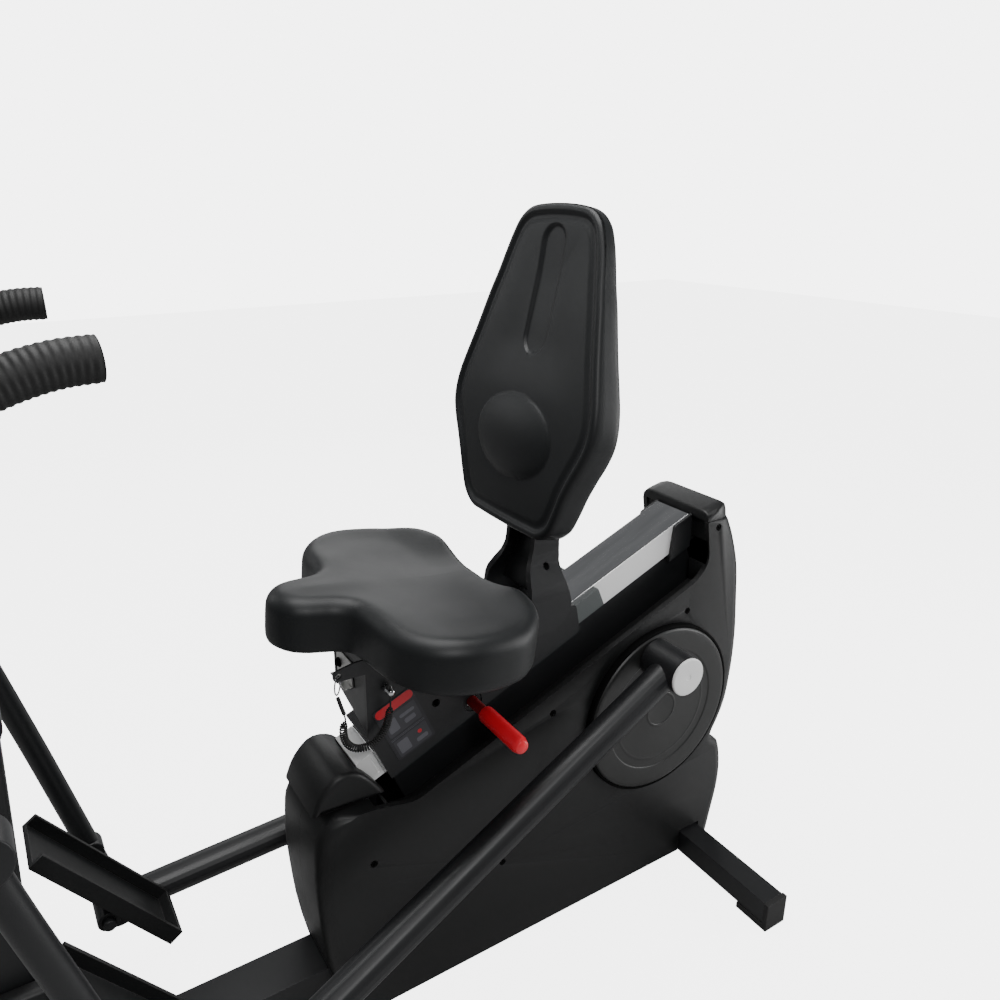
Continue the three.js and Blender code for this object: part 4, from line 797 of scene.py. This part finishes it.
def pill(u0, u1, w0, w1, radius, steps=6):
    """A rectangle with rounded corners."""
    out = []
    for cu, cw, a0 in ((u1 - radius, w1 - radius, 0), (u0 + radius, w1 - radius, 90),
                       (u0 + radius, w0 + radius, 180), (u1 - radius, w0 + radius, 270)):
        for k in range(steps + 1):
            a = math.radians(a0 + 90 * k / steps)
            out.append((cu + radius * math.cos(a), cw + radius * math.sin(a)))
    return out


label_panels = [
    (pill(485.5, 550.5, 58.5, 74.5, 7.5), RED),
    (pill(489, 547, 17, 54, 3), DARK),
    (pill(489, 547, -25, 8, 3), DARK),
]
label_marks = [
    (pill(488, 548, 12.6, 13.4, 0.4), GREY),
    (pill(488, 548, 10.4, 11.2, 0.4), GREY),
    (pill(494, 520, 38, 44, 3), GREY),
    (pill(497, 516, 24, 33, 3), GREY),
    (pill(526, 543, 23, 48, 2), GREY),
    (pill(494, 514, -20, -12, 3), GREY),
    (pill(524, 543, -20, 3, 2), GREY),
    (pill(500, 507, -7, 0, 3.4), RED),
]
piece("label_panels", plate_uw(label_panels, LABEL_Y, FILM_THICKNESS), "carriage", LABEL_INKS,
      angle=30)
for name, y0 in (("left", 40.4), ("right", -41.7)):
    liner = plate_uw([(LINER_OUTLINE, 0)], y0, LINER_THICKNESS)
    piece(f"slot_liner_{name}", liner, "frame", black_plastic, angle=30)
piece("label_marks", plate_uw(label_marks, LABEL_Y + 0.13, MARK_THICKNESS), "carriage", LABEL_INKS,
      angle=30)

# ---- Small fittings of the carriage --------------------------------------------------------
LEVER = (369.8, 505.0)               # X and Z of the lock lever's shaft
# The bush's bore widens inwards, where the lever's shaft tilts most.
BUSH_PROFILE = [(12.2, 49), (16.6, 49), (16.6, 58.6), (9.9, 58.6), (9.9, 56), (12.2, 49)]
PLATE_FACE_X = 545                   # the carriage's front face
PLATE_THICKNESS = 2.5
LIP_REACH = 14
BOLT_PROFILE = [(0, 0), (8, 0), (8, 1.2), (5.6, 1.2), (5.6, 5.5), (0, 5.5)]
BOLTS = [(-36, 584), (0, 586)]       # Y and Z

bush = lathe("lever_bush", at(LEVER[0], 0, LEVER[1]), Y_AXIS, rounded(BUSH_PROFILE, 0.8, 2), 48)
piece("lever_bush", bush, "carriage", black_plastic, angle=35)


def front_bracket():
    """A small plate with a lip standing forwards at its foot, on the carriage's front face."""
    y0, y1, z0, z1 = -46, 12, 562, 606
    back = PLATE_FACE_X
    front = back + PLATE_THICKNESS
    lip = back + LIP_REACH
    lip_top = z0 + PLATE_THICKNESS
    section = [(back, z1), (front, z1), (front, lip_top), (lip, lip_top), (lip, z0), (back, z0)]
    points = [at(x, y, z) for y in (y0, y1) for x, z in section]
    count = len(section)
    faces = [tuple(range(count)), tuple(range(count, 2 * count))]
    faces += [(i, (i + 1) % count, (i + 1) % count + count, i + count) for i in range(count)]
    return mesh_of("front_bracket", points, faces)


plate = piece("front_bracket", front_bracket(), "carriage", steel, angle=35)
soft = plate.modifiers.new("soft_edge", "BEVEL")
soft.width = 0.0006
soft.segments = 2
for i, (y, z) in enumerate(BOLTS):
    head = lathe("bolt", at(PLATE_FACE_X + PLATE_THICKNESS, y, z), Vector((1, 0, 0)),
                 rounded(BOLT_PROFILE, 0.5, 2), 30)
    piece(f"front_bolt_{i + 1}", head, "carriage", hole_black, angle=35)

# ---- Screws --------------------------------------------------------------------------------
SCREW_DEPTH = 1.6                    # the head's foot lies this far under its face
SHROUD_FACE_Y = 83.6
SHROUD_SCREW_RADIUS = 4.6
SHROUD_SCREWS = [(-58, 556), (232, 448), (-118, 702), (330, 190), (560, 300)]
DISC_FACE_Y = 97.2
DISC_SCREW_RADIUS = 3.2
DISC_SCREW_CIRCLE = 137
DISC_SCREW_ANGLES = range(-20, 340, 60)


def screw(name, x, y, z, radius, side, body):
    """A dark socket screw whose head sits in its seat."""
    profile = [(0, 0), (radius, 0), (radius, 1.7), (radius * 0.55, 2.1), (radius * 0.5, 0.6), (0, 0.6)]
    head = lathe(name, at(x, y - side * SCREW_DEPTH, z), Y_AXIS * side, rounded(profile, 0.3, 2), 24)
    piece(name, head, body, hole_black, angle=35)


for side, name in SIDES:
    for i, (x, z) in enumerate(SHROUD_SCREWS):
        screw(f"shroud_screw_{name}_{i + 1}", x, side * SHROUD_FACE_Y, z, SHROUD_SCREW_RADIUS, side,
              "frame")
    for i, degrees in enumerate(DISC_SCREW_ANGLES):
        angle = math.radians(degrees)
        screw(f"disc_screw_{name}_{i + 1}", side * DISC_SCREW_CIRCLE * math.cos(angle),
              side * DISC_FACE_Y, CRANK_Z + side * DISC_SCREW_CIRCLE * math.sin(angle),
              DISC_SCREW_RADIUS, side, "crank")

# ---- Studio --------------------------------------------------------------------------------
SKY_STRENGTH = 0.15                  # what lights the machine
BACKDROP_STRENGTH = 5.5              # what the camera sees
FLOOR_GLOW = 4.6
FLOOR_HALF = 9
FLOOR_Z = -0.001


def camera_only(tree, seen, other):
    """A shader that is seen by the camera directly, and other for all else."""
    path = tree.nodes.new("ShaderNodeLightPath")
    mix = tree.nodes.new("ShaderNodeMixShader")
    tree.links.new(path.outputs["Is Camera Ray"], mix.inputs["Fac"])
    tree.links.new(other, mix.inputs[1])
    tree.links.new(seen, mix.inputs[2])
    return mix


world = bpy.data.worlds.new("studio")
bpy.context.scene.world = world
world.use_nodes = True
tree = world.node_tree
dim = tree.nodes["Background"]
dim.inputs["Color"].default_value = (0.95, 0.97, 1.0, 1)
dim.inputs["Strength"].default_value = SKY_STRENGTH
backdrop = tree.nodes.new("ShaderNodeBackground")
backdrop.inputs["Color"].default_value = (1, 1, 1, 1)
backdrop.inputs["Strength"].default_value = BACKDROP_STRENGTH
mix = camera_only(tree, backdrop.outputs[0], dim.outputs[0])
tree.links.new(mix.outputs[0], tree.nodes["World Output"].inputs["Surface"])

corners = [(-1, -1), (1, -1), (1, 1), (-1, 1)]
floor_mesh = bpy.data.meshes.new("floor")
floor_mesh.from_pydata([(x * FLOOR_HALF, y * FLOOR_HALF, FLOOR_Z) for x, y in corners], [],
                       [(0, 1, 2, 3)])
floor = bpy.data.objects.new("floor", floor_mesh)
bpy.context.scene.collection.objects.link(floor)
floor_look = bpy.data.materials.new("floor_paint")
floor_look.use_nodes = True
tree = floor_look.node_tree
paint = tree.nodes["Principled BSDF"]
paint.inputs["Base Color"].default_value = (0.5, 0.5, 0.5, 1)
paint.inputs["Roughness"].default_value = 0.8
glow = tree.nodes.new("ShaderNodeEmission")
glow.inputs["Strength"].default_value = FLOOR_GLOW
lift = tree.nodes.new("ShaderNodeAddShader")
tree.links.new(paint.outputs[0], lift.inputs[0])
tree.links.new(glow.outputs[0], lift.inputs[1])
mix = camera_only(tree, lift.outputs[0], paint.outputs[0])
tree.links.new(mix.outputs[0], tree.nodes["Material Output"].inputs["Surface"])
floor_mesh.materials.append(floor_look)


def softbox(name, location, target, size, power):
    """A rectangular lamp aimed at a point; size in metres, power in watts."""
    lamp = bpy.data.lights.new(name, "AREA")
    lamp.shape = "RECTANGLE"
    lamp.size, lamp.size_y = size
    lamp.energy = power
    obj = bpy.data.objects.new(name, lamp)
    bpy.context.scene.collection.objects.link(obj)
    obj.location = location
    aim = Vector(target) - Vector(location)
    obj.rotation_euler = aim.to_track_quat("-Z", "Y").to_euler()


softbox("overhead", (-0.1, -0.15, 2.4), (-0.2, 0, 0.6), (1.3, 1.3), 36)
softbox("far_side", (-1.5, -2.6, 1.7), (-0.2, 0, 0.7), (2.6, 1.6), 24)
softbox("rear_side", (-2.4, 1.1, 0.9), (-0.5, 0, 0.5), (0.9, 1.4), 34)
softbox("front_far", (1.3, -2.2, 1.9), (-0.25, 0, 1.05), (1.2, 1.2), 8)
softbox("front_top", (0.6, 2.4, 2.6), (-0.3, 0, 0.7), (1.2, 0.8), 36)
